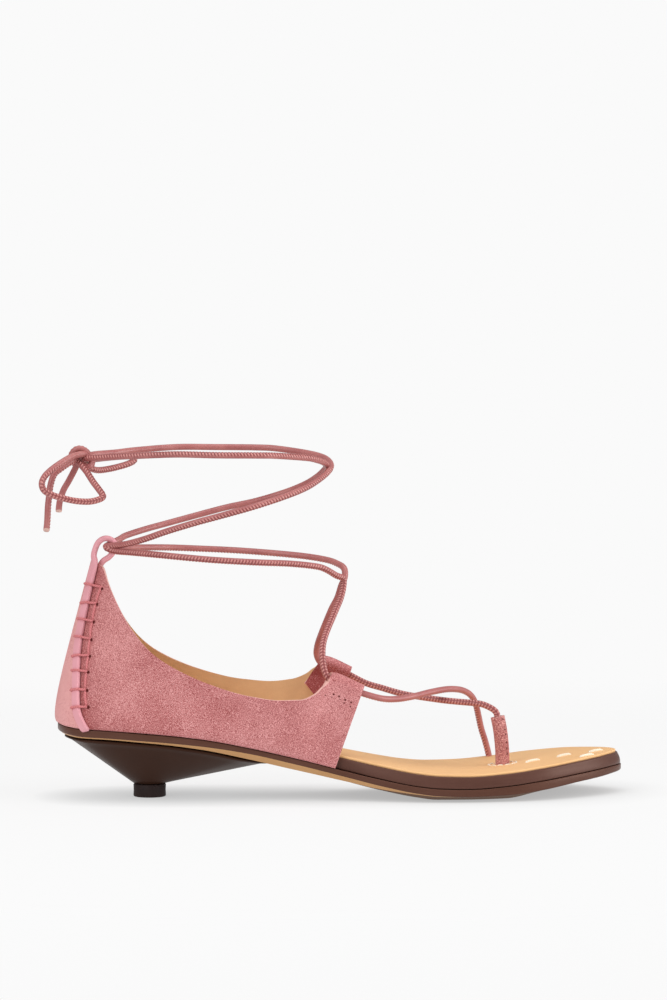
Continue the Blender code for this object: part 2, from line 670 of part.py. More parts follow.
def add_laces(collection, helpers, parent):
    lateral, medial = -1, 1
    for name, side, route in (
        ("lace_toe_lateral", lateral, TOE_LATERAL_ROUTE),
        ("lace_toe_medial", medial, TOE_MEDIAL_ROUTE),
    ):
        whole = tunnel(side, TAB_MEET + TAB_MEET_GAP, 1.0) + scaled(route)
        add_cord(name, whole, LACE_DIAMETER, "pink_lace", collection, parent)
    instep = (
        tunnel(lateral, TAB_MEET - TAB_MEET_GAP, 0.0) + scaled(INSTEP_LATERAL_ROUTE),
        tunnel(medial, TAB_MEET - TAB_MEET_GAP, 0.0) + scaled(INSTEP_MEDIAL_ROUTE),
    )
    add_joined_cords("lace_instep", instep, collection, helpers, parent)
    ankle = (scaled(ANKLE_OUTER_ROUTE), scaled(ANKLE_INNER_ROUTE))
    for route in ankle:
        route[-1] = at_knot(route[-1])
    add_joined_cords("lace_ankle", ankle, collection, helpers, parent)


def add_bow(collection, parent):
    """The knot behind the ankle, its two loops and its two ends."""
    mesh = bmesh.new()
    bmesh.ops.create_icosphere(mesh, subdivisions=2, radius=0.5)
    bmesh.ops.scale(mesh, vec=KNOT_SIZE, verts=mesh.verts)
    data = bpy.data.meshes.new("lace_knot")
    mesh.to_mesh(data)
    mesh.free()
    data.shade_smooth()
    knot = bpy.data.objects.new("lace_knot", data)
    knot.data.materials.append(finish("pink_lace"))
    knot.parent = parent
    knot.location = Vector(KNOT_CENTRE) * MM
    collection.objects.link(knot)
    for i, hand_route in enumerate(BOW_ROUTES, start=1):
        route = scaled(hand_route)
        route[0] = at_knot(route[0])
        route[-1] = at_knot(route[-1])
        add_cord(f"lace_bow_{i}", route, LACE_DIAMETER, "pink_lace", collection, parent)
    for i, hand_route in enumerate(END_ROUTES, start=1):
        route = scaled(hand_route)
        route[0] = at_knot(route[0])
        add_cord(f"lace_end_{i}", route, LACE_DIAMETER, "pink_lace", collection, parent)


def main():
    clear_scene()
    parts = new_collection(NAME)
    helpers = new_collection(f"{NAME}_helpers")
    last = bpy.data.objects.new("last", None)
    last.location = (-ORIGIN_X, -ORIGIN_Y, 0.0)
    parts.objects.link(last)
    bpy.context.view_layer.update()
    add_outsole(parts, last)
    add_midsole(parts, last)
    add_insole(parts, last)
    add_heel(parts, last)
    add_heel_tip(parts, last)
    add_upper(parts, last)
    add_back_cord(parts, last)
    add_toe_post(parts, last)
    add_laces(parts, helpers, last)
    add_bow(parts, last)


main()
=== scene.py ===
"""Looks of a kitten heel sandal: pink suede, leather lace ties, a layered leather sole and a low wedge heel.

Right shoe. Metres in the part's frame: +X towards the toe, +Y towards the medial side, +Z up. The tables are
in millimetres on the last, with x counted from the back of the counter, as the solids have them.
"""

import logging
import math
from dataclasses import dataclass, field
from enum import Enum
from itertools import product
from typing import Callable, Iterable, Optional, Protocol, Sequence, Union

import bpy
import numpy as np
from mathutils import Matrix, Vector


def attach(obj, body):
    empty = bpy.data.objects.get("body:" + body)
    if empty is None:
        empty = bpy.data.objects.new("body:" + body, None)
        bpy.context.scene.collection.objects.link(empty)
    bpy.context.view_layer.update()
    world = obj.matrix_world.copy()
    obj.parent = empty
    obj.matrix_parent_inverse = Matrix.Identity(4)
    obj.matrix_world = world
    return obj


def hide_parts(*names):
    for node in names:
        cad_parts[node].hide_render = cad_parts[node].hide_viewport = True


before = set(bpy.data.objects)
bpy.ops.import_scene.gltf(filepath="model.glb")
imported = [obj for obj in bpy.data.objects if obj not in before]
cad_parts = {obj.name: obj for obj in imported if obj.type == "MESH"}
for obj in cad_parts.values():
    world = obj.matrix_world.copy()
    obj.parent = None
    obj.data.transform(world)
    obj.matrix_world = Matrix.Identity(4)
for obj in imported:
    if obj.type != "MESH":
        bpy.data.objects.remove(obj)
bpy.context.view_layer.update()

LOG = logging.getLogger("kitten_heel_sandal")
BODY = "root"
MM = 0.001
LAST_ORIGIN = Vector((126.5, -1.3, 0.0)) * MM  # place of the frame's origin on the last

Object = bpy.types.Object
Material = bpy.types.Material
Triple = tuple[float, float, float]
Colour = Triple
Table = tuple[tuple[float, ...], ...]
Route = tuple[Triple, ...]
Profile = Callable[[np.ndarray, np.ndarray], np.ndarray]  # by distance along a cord and angle round it
Measure = Callable[[float], float]  # by x on the last

GAP = 0.3 * MM  # between pieces that touch
WELD = 0.002 * MM
MIDSOLE_THICKNESS = 5.1 * MM
INSOLE_THICKNESS = 0.8 * MM
LACE_RADIUS = 1.4 * MM
WALL = 1.7 * MM  # suede and lining together
PROBE = 0.02  # step along an outline or the upper from which a slope is taken
CURVE_SPANS = 24  # short lines between two points of a smooth route
HOLE_SIDES = 12
HOLE_RINGS: Table = ((1.0, 0.02), (0.75, 0.1), (0.4, 0.06))  # share of a hole's radius, lift in millimetres
PAINTED_LIGHT_MARK = "ridge"  # mesh attribute for painted light and shade: a cord's relief, painted dark in its grooves and light on its ridges, or the suede's tone, painted light behind the back seam and painted shade beside it and on the tab flaps
EVEN = 0.5  # middle of a noise, of the relief and of the nap
CLOUD_DETAIL = 3.0  # octaves of the coarser noises
UP = Vector((0.0, 0.0, 1.0))

# The sole, a row for each section: sides of the outline, then heights of the rim of the painted edge, its
# lower line, the lower line of the bare bevel and the tread.
SOLE_COLUMNS = ("x", "lateral", "medial", "rim", "edge", "bevel", "tread")
SOLE_ROWS: Table = (
    (1.6, 0.0, 0.0, 33.2, 30.2, 29.7, 28.6),
    (6.0, -16.8, 16.8, 32.4, 29.2, 28.6, 28.0),
    (11.0, -21.2, 21.2, 31.9, 28.6, 28.0, 27.7),
    (20.0, -24.8, 24.8, 31.5, 28.3, 27.7, 27.3),
    (41.0, -27.3, 27.0, 29.9, 26.8, 26.0, 25.7),
    (63.0, -26.9, 25.0, 27.4, 24.5, 23.1, 22.8),
    (85.0, -25.4, 20.6, 23.1, 20.8, 18.3, 17.9),
    (106.0, -25.4, 17.8, 18.2, 15.8, 13.3, 12.7),
    (126.0, -28.0, 17.2, 13.2, 10.8, 8.8, 7.9),
    (141.0, -31.6, 18.6, 9.9, 7.1, 5.6, 4.2),
    (158.0, -36.0, 22.6, 6.8, 3.8, 3.3, 1.0),
    (167.0, -37.4, 25.6, 5.9, 2.8, 2.5, 0.0),
    (180.0, -38.0, 30.2, 5.6, 2.4, 2.3, 0.0),
    (198.0, -36.4, 34.0, 6.7, 2.9, 2.8, 0.2),
    (212.0, -33.0, 35.4, 8.3, 4.4, 4.3, 2.6),
    (231.0, -23.0, 30.6, 10.5, 7.1, 7.0, 5.8),
    (241.0, -15.2, 22.8, 11.5, 8.2, 8.1, 7.2),
    (248.0, -7.6, 15.6, 12.1, 9.1, 9.0, 8.2),
    (253.0, 4.2, 4.2, 12.4, 9.9, 9.8, 8.9),
)

# How far each layer stands inside the outsole's outline. Under the suede it reaches the lining.
INSET_COLUMNS = ("x", "midsole_foot", "midsole_top", "insole")
INSET_ROWS: Table = (
    (1.6, 2.7, 1.6, 1.2),
    (112.0, 2.7, 1.6, 1.0),
    (126.0, 2.7, 2.7, 3.4),
    (137.0, 0.9, 1.5, 2.4),
    (150.0, 0.3, 1.1, 2.0),
    (215.0, 0.3, 1.2, 2.0),
    (253.0, 0.3, 1.5, 2.5),
)

# Outline of the heel's seat under the outsole, from its back to the thin front end of the wedge.
SEAT_COLUMNS = ("x", "lateral", "medial")
SEAT_ROWS: Table = (
    (4.6, 0.0, 0.0),
    (12.0, -19.4, 19.4),
    (25.0, -23.8, 23.7),
    (45.0, -25.4, 25.0),
    (65.0, -24.8, 22.8),
    (80.0, -21.6, 18.0),
    (90.0, -13.5, 11.0),
    (95.5, 0.0, 0.0),
)

# The upper, a row for each section from the back of the heel to the front edge: where the section stands on
# the outline, then the outer edge of the topline, and how far the wall swells.
UPPER_COLUMNS = ("base_x", "top_x", "top_y", "top_z", "bulge")
COUNTER_ROWS: Table = (
    (1.6, 16.4, 0.0, 104.6, 2.8),
    (7.0, 20.9, 4.9, 102.2, 2.7),
    (15.5, 24.0, 9.8, 93.8, 2.5),
    (27.0, 32.7, 17.8, 76.4, 2.0),
)
LATERAL_ROWS: Table = (
    (38.5, 43.5, 23.4, 64.1, 1.7),
    (57.0, 62.9, 26.8, 53.4, 1.4),
    (77.5, 84.6, 27.8, 46.3, 1.2),
    (89.5, 97.5, 28.2, 44.4, 1.1),
    (98.5, 106.5, 28.2, 44.5, 1.0),
    (104.5, 113.2, 27.6, 46.8, 1.0),
    (108.0, 117.7, 26.6, 50.6, 0.9),
    (111.5, 121.5, 25.0, 52.5, 0.8),
    (122.1, 134.0, 25.7, 47.3, 0.6),
)
MEDIAL_ROWS: Table = (
    (38.5, 43.5, 23.2, 64.8, 1.7),
    (57.0, 62.9, 26.4, 55.0, 1.4),
    (77.5, 84.0, 27.0, 49.3, 1.2),
    (90.0, 98.0, 27.0, 47.9, 1.1),
    (98.5, 107.0, 26.8, 48.7, 1.0),
    (104.5, 113.7, 26.4, 51.0, 1.0),
    (108.0, 117.9, 25.8, 53.9, 0.9),
    (111.5, 121.7, 24.7, 55.4, 0.8),
    (122.0, 132.0, 24.7, 50.8, 0.6),
)

# The back seam: height up the wall, and place round it in rows from the back of the heel.
SEAM_COLUMNS = ("up", "round")
SEAM_ROWS: Table = (
    (0.0, -1.78), (0.12, -1.34), (0.3, -1.08), (0.5, -0.80), (0.8, -0.62), (1.0, -0.54),
)
# Height up the wall where each whip stitch crosses the piping, then place and height of the hole at its end.
WHIP_STITCHES: Table = (
    (0.134, -1.74, 0.154), (0.237, -1.56, 0.258), (0.350, -1.46, 0.371), (0.435, -1.39, 0.469),
    (0.548, -1.29, 0.568), (0.653, -1.21, 0.673), (0.751, -1.19, 0.784), (0.863, -1.35, 0.899),
)

# Routes of the cords, in millimetres on the last.
LOOP_ROUTE: Route = (
    (17.6, -2.0, 106.6), (18.2, -0.4, 109.2), (19.4, 0.0, 112.0), (21.2, 0.0, 113.7),
    (23.4, 0.0, 114.2), (25.6, 0.0, 113.4), (27.0, 0.0, 111.4), (26.5, 0.0, 108.6),
    (24.4, 0.0, 106.0), (21.8, 0.0, 104.2), (19.6, 0.4, 101.0), (17.6, 0.4, 97.6),
    (16.6, 0.2, 94.5),
)
POST_ROUTE: Route = ((198.6, -5.0, 13.8), (198.4, -5.0, 20.0), (197.6, -4.8, 28.0), (196.4, -4.5, 34.4))
TOE_LATERAL_ROUTE: Route = (
    (143.4, -19.0, 44.2), (151.0, -14.0, 43.5), (158.7, -8.5, 44.1), (166.5, -2.0, 45.2),
    (174.5, 5.0, 45.8), (180.5, 10.5, 45.2), (184.6, 14.5, 43.7), (187.6, 17.5, 41.2),
    (189.8, 20.5, 37.1), (191.4, 24.0, 31.8), (192.9, 26.6, 26.1), (195.0, 28.4, 19.9),
    (196.6, 29.2, 14.0),
)
TOE_MEDIAL_ROUTE: Route = (
    (140.0, 19.5, 47.5), (147.1, 18.0, 45.4), (154.0, 15.0, 43.5), (160.8, 11.5, 42.3),
    (174.4, 4.5, 40.8), (186.3, -1.0, 40.1), (189.7, -2.5, 39.7), (192.6, -3.6, 38.6),
    (195.0, -4.3, 37.1), (196.2, -4.5, 35.2),
)
# Last point of each toe tie, inside the insole and inside the post's sleeve.
TOE_LATERAL_END: Triple = (196.9, 29.3, 11.5)
TOE_MEDIAL_END: Triple = (197.0, -4.7, 30.5)
INSTEP_LATERAL_ROUTE: Route = (
    (119.2, -21.4, 53.9), (117.5, -20.7, 58.6), (117.3, -18.0, 66.1), (119.1, -14.0, 72.4),
    (124.1, -7.0, 82.4), (126.6, -3.5, 87.5), (128.0, -1.0, 92.6), (127.8, -1.0, 96.0),
    (124.4, -4.5, 97.6), (119.6, -9.0, 100.5), (114.9, -12.0, 102.1), (102.9, -19.0, 103.8),
    (87.6, -24.5, 104.8), (70.0, -26.5, 106.0), (57.0, -25.0, 107.1), (44.2, -19.0, 108.1),
    (34.0, -10.5, 108.6), (27.4, -4.1, 108.8), (24.4, -2.1, 109.6), (23.1, 0.0, 110.4),
    (24.4, 2.1, 111.4), (27.4, 4.1, 112.7), (29.0, 5.6, 113.4),
)
INSTEP_MEDIAL_ROUTE: Route = (
    (119.6, 21.0, 56.9), (118.0, 20.4, 60.0), (117.9, 18.0, 64.0), (119.4, 13.5, 70.2),
    (123.2, 6.5, 81.4), (125.7, 3.5, 87.0), (127.2, 1.0, 92.5), (128.8, 1.0, 96.5),
    (128.6, 3.2, 100.3), (125.5, 8.0, 102.3), (121.4, 12.0, 103.5), (112.9, 17.5, 104.7),
    (99.9, 23.0, 105.8), (82.2, 27.0, 107.0), (64.3, 27.5, 107.9), (50.6, 23.0, 108.7),
    (36.9, 13.5, 109.3), (27.4, 4.1, 109.7), (24.4, 2.1, 110.2), (23.1, 0.0, 110.7),
    (24.4, -2.1, 111.0), (27.4, -4.1, 111.4), (29.0, -5.6, 111.6),
)
ANKLE_OUTER_ROUTE: Route = (
    (29.5, -6.1, 111.7), (33.0, -10.4, 112.6), (40.0, -17.0, 115.0), (48.4, -22.5, 118.3),
    (61.2, -28.0, 122.5), (74.2, -30.0, 126.1), (87.3, -29.0, 129.7), (100.8, -24.0, 133.8),
    (110.1, -17.5, 137.1), (116.9, -10.0, 140.7), (120.9, -4.0, 143.5), (122.5, 0.0, 145.5),
    (122.1, 5.0, 147.6), (119.5, 11.0, 149.4), (113.0, 18.5, 150.9), (100.2, 27.0, 152.6),
    (91.4, 29.5, 153.0), (73.5, 30.0, 153.2), (55.3, 26.5, 153.4), (37.1, 18.0, 152.4),
    (28.0, 12.0, 151.6), (19.9, 6.5, 151.2), (16.4, 3.6, 150.8), (14.0, 1.4, 150.2),
)
ANKLE_INNER_ROUTE: Route = (
    (29.5, 6.1, 113.6), (32.6, 9.8, 115.0), (41.4, 17.0, 117.3), (50.6, 22.5, 119.4),
    (64.3, 28.0, 122.7), (77.9, 30.0, 126.1), (91.4, 29.5, 129.0), (104.5, 25.0, 133.2),
    (113.0, 18.5, 137.2), (117.7, 11.0, 140.9), (120.1, 5.0, 143.9), (120.6, 0.0, 145.6),
    (119.0, -4.5, 147.5), (115.0, -11.0, 149.0), (110.2, -15.5, 150.0), (96.4, -24.5, 151.3),
    (87.4, -28.0, 151.6), (69.9, -29.5, 151.8), (52.7, -26.5, 152.1), (35.6, -18.0, 151.2),
    (27.1, -12.0, 150.6), (19.4, -6.5, 150.0), (16.1, -3.6, 149.9), (14.0, -1.4, 149.7),
)
KNOT_ROUTE: Route = (
    (10.4, 2.4, 146.4), (8.6, 1.6, 148.0), (8.0, 0.6, 150.4), (8.6, -0.4, 152.2),
    (10.1, -1.0, 153.5), (12.1, -1.0, 153.8), (14.1, -0.6, 152.8), (15.6, 0.8, 151.2),
    (16.9, 1.8, 149.3), (17.0, 0.8, 147.3), (15.8, -0.6, 145.9), (13.8, -0.8, 146.1),
    (12.2, 0.6, 147.6), (11.0, 2.2, 149.6), (10.4, 2.6, 151.8),
)
BOW_ROUTES: tuple[Route, ...] = (
    (
        (14.7, 0.6, 150.4), (13.2, -2.6, 151.4), (10.2, -4.8, 151.2), (6.6, -8.5, 150.0),
        (0.3, -13.0, 146.2), (-3.8, -16.0, 142.7), (-5.4, -18.0, 139.4), (-4.5, -19.0, 136.4),
        (-1.5, -20.0, 134.6), (3.1, -20.0, 133.1), (9.2, -19.0, 131.7), (15.4, -17.0, 131.3),
        (20.0, -15.0, 132.3), (21.3, -14.0, 133.6), (19.6, -12.0, 136.3), (17.2, -9.0, 139.5),
        (14.4, -5.6, 143.9), (12.2, -3.2, 146.6), (10.9, -1.0, 148.2),
    ),
    (
        (14.2, 1.2, 147.2), (15.2, 2.0, 145.6), (17.4, 3.6, 144.6), (20.8, 7.6, 144.0),
        (27.1, 12.6, 144.8), (33.5, 16.5, 146.4), (36.4, 19.6, 148.0), (35.0, 21.6, 149.4),
        (30.0, 20.2, 149.4), (23.0, 15.4, 149.0), (17.2, 10.6, 148.6), (13.4, 5.4, 148.8),
        (11.0, 3.0, 150.8),
    ),
)
END_ROUTES: tuple[Route, ...] = (
    (
        (10.6, -0.6, 149.4), (7.4, -3.4, 148.0), (2.8, -6.0, 145.0), (0.1, -7.0, 142.6),
        (-1.5, -8.0, 137.8), (-2.1, -8.5, 133.1), (-2.6, -9.0, 128.6), (-2.9, -9.0, 122.5),
        (-3.3, -9.0, 118.5),
    ),
    (
        (10.8, 1.2, 148.0), (9.6, 2.6, 144.8), (7.0, 5.0, 139.6), (4.6, 6.0, 135.3),
        (3.1, 6.5, 130.9), (2.6, 7.0, 127.8), (2.5, 7.0, 126.0),
    ),
)


class Side(Enum):
    """A side of the shoe, with the sign that places on the upper take there."""

    LATERAL = -1
    MEDIAL = 1


class Slot(Enum):
    """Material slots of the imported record."""

    SUEDE = "suede"
    PIPING = "piping"
    LACE = "lace"
    SOLE_EDGE = "sole_edge"
    PLATFORM = "platform"
    SOCK = "sock"
    HEEL = "heel"
    HEEL_TIP = "heel_tip"


class Wire:
    """An output socket of a shader tree that takes part in Python expressions."""

    def __init__(self, shader: "Shader", socket: Optional[bpy.types.NodeSocket]) -> None:
        """Keeps the socket and the tree that it belongs to.

        Args:
            shader: The tree that new nodes are added to.
            socket: The output socket, or None for a node that has none.
        """
        self.shader = shader
        self.socket = socket

    def maths(self, operation: str, first: "Value", second: "Value") -> "Wire":
        """Adds a Math node.

        Args:
            operation: The node's operation.
            first: Its first value.
            second: Its second value.

        Returns:
            The node's result.
        """
        return self.shader.node("ShaderNodeMath", {"operation": operation}, {0: first, 1: second})

    def __add__(self, other: "Value") -> "Wire":
        """Sum."""
        return self.maths("ADD", self, other)

    def __radd__(self, other: "Value") -> "Wire":
        """Reflected sum."""
        return self.maths("ADD", other, self)

    def __sub__(self, other: "Value") -> "Wire":
        """Difference."""
        return self.maths("SUBTRACT", self, other)

    def __rsub__(self, other: "Value") -> "Wire":
        """Reflected difference."""
        return self.maths("SUBTRACT", other, self)

    def __mul__(self, other: "Value") -> "Wire":
        """Product."""
        return self.maths("MULTIPLY", self, other)

    def __rmul__(self, other: "Value") -> "Wire":
        """Reflected product."""
        return self.maths("MULTIPLY", other, self)

    def swing(self, weight: float) -> "Wire":
        """How far the value is from its middle, times a weight."""
        return (self - EVEN) * weight


Value = Union[Wire, float]


class Shader:
    """One material's node tree, built from expressions."""

    def __init__(self, name: str) -> None:
        """Starts an empty material.

        Args:
            name: The material's name.
        """
        self.material = bpy.data.materials.new(name)
        self.material.use_nodes = True
        self.tree = self.material.node_tree
        self.tree.nodes.clear()
        self.place = self.node("ShaderNodeTexCoord", output="Object")

    def node(
        self,
        kind: str,
        settings: Optional[dict] = None,
        sockets: Optional[dict] = None,
        output: Union[int, str] = 0,
    ) -> Wire:
        """Adds any node.

        Args:
            kind: The node's type.
            settings: Its properties, with a ramp's stops as pairs of position and colour.
            sockets: Values or wires for its inputs, by name or number.
            output: Which output to return.

        Returns:
            The output as a wire.
        """
        made = self.tree.nodes.new(kind)
        for name, value in (settings or {}).items():
            if name == "stops":
                self.set_stops(made.color_ramp, value)
            else:
                setattr(made, name, value)
        for key, value in (sockets or {}).items():
            self.feed(made.inputs[key], value)
        return Wire(self, made.outputs[output] if made.outputs else None)

    def set_stops(self, ramp: bpy.types.ColorRamp, stops: Sequence[tuple[float, Colour]]) -> None:
        """Sets a ramp's stops.

        Args:
            ramp: The ramp.
            stops: Position and colour of each, in order.
        """
        while len(ramp.elements) < len(stops):
            ramp.elements.new(1.0)
        for element, (position, colour) in zip(ramp.elements, stops):
            element.position = position
            element.color = (*colour, 1.0)

    def feed(self, socket: bpy.types.NodeSocket, value: Union[Wire, float, Colour]) -> None:
        """Links a wire to an input, or sets the input's value.

        Args:
            socket: The input.
            value: A wire, a number, a colour or a vector.
        """
        if isinstance(value, Wire):
            self.tree.links.new(value.socket, socket)
        elif socket.type == "RGBA":
            socket.default_value = (*value, 1.0)
        else:
            socket.default_value = value

    def noise(self, size: float, detail: float = 2.0, stretch: Optional[Triple] = None) -> Wire:
        """Soft noise in the part's frame.

        Args:
            size: Size of its features, in metres.
            detail: Octaves added to the coarsest.
            stretch: Scale along each axis, below 1 to draw the features out, or None for even ones.

        Returns:
            A value about 0.5.
        """
        place = self.place
        if stretch is not None:
            place = self.node("ShaderNodeMapping", sockets={"Vector": place, "Scale": stretch})
        sockets = {"Vector": place, "Scale": 1.0 / size, "Detail": detail}
        return self.node("ShaderNodeTexNoise", sockets=sockets, output="Fac")

    def mark(self, name: str) -> Wire:
        """A value stored on the mesh's points.

        Args:
            name: The attribute's name.

        Returns:
            The value.
        """
        return self.node("ShaderNodeAttribute", {"attribute_name": name}, output="Fac")

    def ramp(self, value: Wire, stops: Sequence[tuple[float, Colour]]) -> Wire:
        """A colour from a value.

        Args:
            value: Where to read the ramp.
            stops: Position and colour of each stop.

        Returns:
            The colour.
        """
        return self.node("ShaderNodeValToRGB", {"stops": stops}, {"Fac": value}, output="Color")

    def mix(self, share: Value, first: Union[Wire, Colour], second: Union[Wire, Colour]) -> Wire:
        """A blend of two colours.

        Args:
            share: 0 for the first colour and 1 for the second.
            first: A colour.
            second: Another colour.

        Returns:
            The blend.
        """
        return self.node("ShaderNodeMix", {"data_type": "RGBA"}, {0: share, 6: first, 7: second}, output=2)

    def bump(self, height: Wire, depth: float, strength: float = 1.0) -> Wire:
        """A normal from a height.

        Args:
            height: Height from 0 to 1.
            depth: What a height of 1 stands for, in metres.
            strength: Share of the slope that shows.

        Returns:
            The normal.
        """
        sockets = {"Strength": strength, "Distance": depth, "Height": height}
        return self.node("ShaderNodeBump", sockets=sockets)

    def surface(self, sockets: dict) -> Material:
        """Closes the tree with a Principled surface.

        Args:
            sockets: Values or wires for the surface's inputs.

        Returns:
            The finished material.
        """
        surface = self.node("ShaderNodeBsdfPrincipled", sockets=sockets)
        self.node("ShaderNodeOutputMaterial", sockets={"Surface": surface})
        return self.material


class Finish(Protocol):
    """What every finish can do."""

    def material(self) -> Material:
        """Makes the material."""


@dataclass(frozen=True)
class Suede:
    """Suede with a short brushed nap."""

    name: str
    deep: Colour
    middle: Colour
    raised: Colour
    stops: Triple = (0.05, 0.5, 0.95)
    nap: float = 0.29 * MM
    nap_weight: float = 2.8
    nap_relief: float = 0.85
    tuft: float = 1.5 * MM
    tuft_weight: float = 0.15
    tuft_relief: float = 0.15
    brushed: float = 22.0 * MM
    brushed_weight: float = 0.7
    roughness: float = 0.92
    gloss: float = 0.15
    sheen: float = 0.12
    sheen_roughness: float = 0.45
    relief: float = 0.3 * MM
    slope: float = 0.8

    def material(self) -> Material:
        """Makes the material.

        Returns:
            The material.
        """
        shader = Shader(self.name)
        nap = shader.noise(self.nap)
        tuft = shader.noise(self.tuft)
        brushed = shader.noise(self.brushed, CLOUD_DETAIL)
        # The mesh's tone: painted light behind the back seam, painted shade beside it and down the tab flaps.
        lay = shader.mark(PAINTED_LIGHT_MARK)
        tone = lay + nap.swing(self.nap_weight) + tuft.swing(self.tuft_weight)
        tone = tone + brushed.swing(self.brushed_weight)
        colours = (self.deep, self.middle, self.raised)
        height = nap * self.nap_relief + tuft * self.tuft_relief
        return shader.surface({
            "Base Color": shader.ramp(tone, tuple(zip(self.stops, colours))),
            "Roughness": self.roughness,
            "Specular IOR Level": self.gloss,
            "Sheen Weight": self.sheen,
            "Sheen Roughness": self.sheen_roughness,
            "Sheen Tint": self.raised,
            "Normal": shader.bump(height, self.relief, self.slope),
        })


@dataclass(frozen=True)
class SmoothLeather:
    """Smooth leather with fine pores and a soft gloss."""

    name: str
    shade: Colour
    light: Colour
    roughness: float = 0.5
    gloss: float = 0.4
    cloud: float = 14.0 * MM
    cloud_weight: float = 1.3
    cloud_wear: float = 0.25
    pore: float = 0.45 * MM
    pore_weight: float = 0.5
    relief: float = 0.05 * MM

    def material(self) -> Material:
        """Makes the material.

        Returns:
            The material.
        """
        shader = Shader(self.name)
        cloud = shader.noise(self.cloud, CLOUD_DETAIL)
        pore = shader.noise(self.pore)
        tone = EVEN + cloud.swing(self.cloud_weight) + pore.swing(self.pore_weight)
        return shader.surface({
            "Base Color": shader.mix(tone, self.shade, self.light),
            "Roughness": self.roughness + cloud.swing(self.cloud_wear),
            "Specular IOR Level": self.gloss,
            "Normal": shader.bump(pore, self.relief),
        })


@dataclass(frozen=True)
class LaceLeather:
    """Leather of the ties: smooth on one face, with stitched ridges on the other."""

    name: str
    # The tone follows the stitched face's relief: the groove colour is painted shade in its grooves, the
    # ridge colour a painted highlight on its ridge tops.
    groove: Colour
    plain: Colour
    ridge: Colour
    stops: Triple = (0.04, 0.42, 0.86)
    cloud: float = 9.0 * MM
    cloud_weight: float = 0.35
    pore: float = 0.35 * MM
    pore_weight: float = 0.3
    pore_wear: float = 0.3
    roughness: float = 0.36
    gloss: float = 0.5
    relief: float = 0.06 * MM

    def material(self) -> Material:
        """Makes the material.

        Returns:
            The material.
        """
        shader = Shader(self.name)
        # Relief height, painted as shade in the grooves and as highlight on the ridges.
        height = shader.mark(PAINTED_LIGHT_MARK)
        cloud = shader.noise(self.cloud)
        pore = shader.noise(self.pore)
        tone = height + cloud.swing(self.cloud_weight) + pore.swing(self.pore_weight)
        colours = (self.groove, self.plain, self.ridge)
        return shader.surface({
            "Base Color": shader.ramp(tone, tuple(zip(self.stops, colours))),
            "Roughness": self.roughness + pore.swing(self.pore_wear),
            "Specular IOR Level": self.gloss,
            "Normal": shader.bump(pore, self.relief),
        })


@dataclass(frozen=True)
class TanLeather:
    """Vegetable-tanned leather: grain, faint creases along the shoe and darker clouds."""

    name: str
    shade: Colour
    light: Colour
    roughness: float = 0.6
    gloss: float = 0.35
    grain: float = 0.6 * MM
    grain_weight: float = 0.35
    grain_relief: float = 0.5
    cloud: float = 26.0 * MM
    cloud_weight: float = 1.1
    cloud_wear: float = 0.2
    streak: float = 5.0 * MM
    streak_weight: float = 0.4
    streak_stretch: Triple = (0.35, 1.0, 0.8)
    crease: float = 0.0
    relief: float = 0.16 * MM
    slope: float = 0.7

    def material(self) -> Material:
        """Makes the material.

        Returns:
            The material.
        """
        shader = Shader(self.name)
        grain = shader.noise(self.grain, CLOUD_DETAIL)
        cloud = shader.noise(self.cloud, CLOUD_DETAIL)
        streak = shader.noise(self.streak, stretch=self.streak_stretch)
        tone = EVEN + cloud.swing(self.cloud_weight) + grain.swing(self.grain_weight)
        tone = tone + streak.swing(self.streak_weight + self.crease)
        height = grain * self.grain_relief + streak * self.crease
        return shader.surface({
            "Base Color": shader.mix(tone, self.shade, self.light),
            "Roughness": self.roughness + cloud.swing(self.cloud_wear),
            "Specular IOR Level": self.gloss,
            "Normal": shader.bump(height, self.relief, self.slope),
        })


@dataclass(frozen=True)
class EdgePaint:
    """Paint on a trimmed leather edge, with faint lines from the trimming."""

    name: str
    shade: Colour
    light: Colour
    roughness: float = 0.37
    gloss: float = 0.3
    sheen: Colour = (1.0, 0.7, 0.58)
    line: float = 0.9 * MM
    line_stretch: Triple = (0.06, 0.06, 1.0)
    line_weight: float = 0.5
    line_relief: float = 0.6
    cloud: float = 16.0 * MM
    cloud_weight: float = 0.9
    cloud_wear: float = 0.3
    fleck: float = 0.5 * MM
    fleck_weight: float = 0.3
    fleck_wear: float = 0.2
    fleck_relief: float = 0.4
    relief: float = 0.07 * MM
    slope: float = 0.6

    def material(self) -> Material:
        """Makes the material.

        Returns:
            The material.
        """
        shader = Shader(self.name)
        line = shader.noise(self.line, stretch=self.line_stretch)
        cloud = shader.noise(self.cloud, CLOUD_DETAIL)
        fleck = shader.noise(self.fleck)
        tone = EVEN + cloud.swing(self.cloud_weight) + line.swing(self.line_weight)
        tone = tone + fleck.swing(self.fleck_weight)
        height = line * self.line_relief + fleck * self.fleck_relief
        return shader.surface({
            "Base Color": shader.mix(tone, self.shade, self.light),
            "Roughness": self.roughness + cloud.swing(self.cloud_wear) + fleck.swing(self.fleck_wear),
            "Specular IOR Level": self.gloss,
            "Specular Tint": self.sheen,
            "Normal": shader.bump(height, self.relief, self.slope),
        })


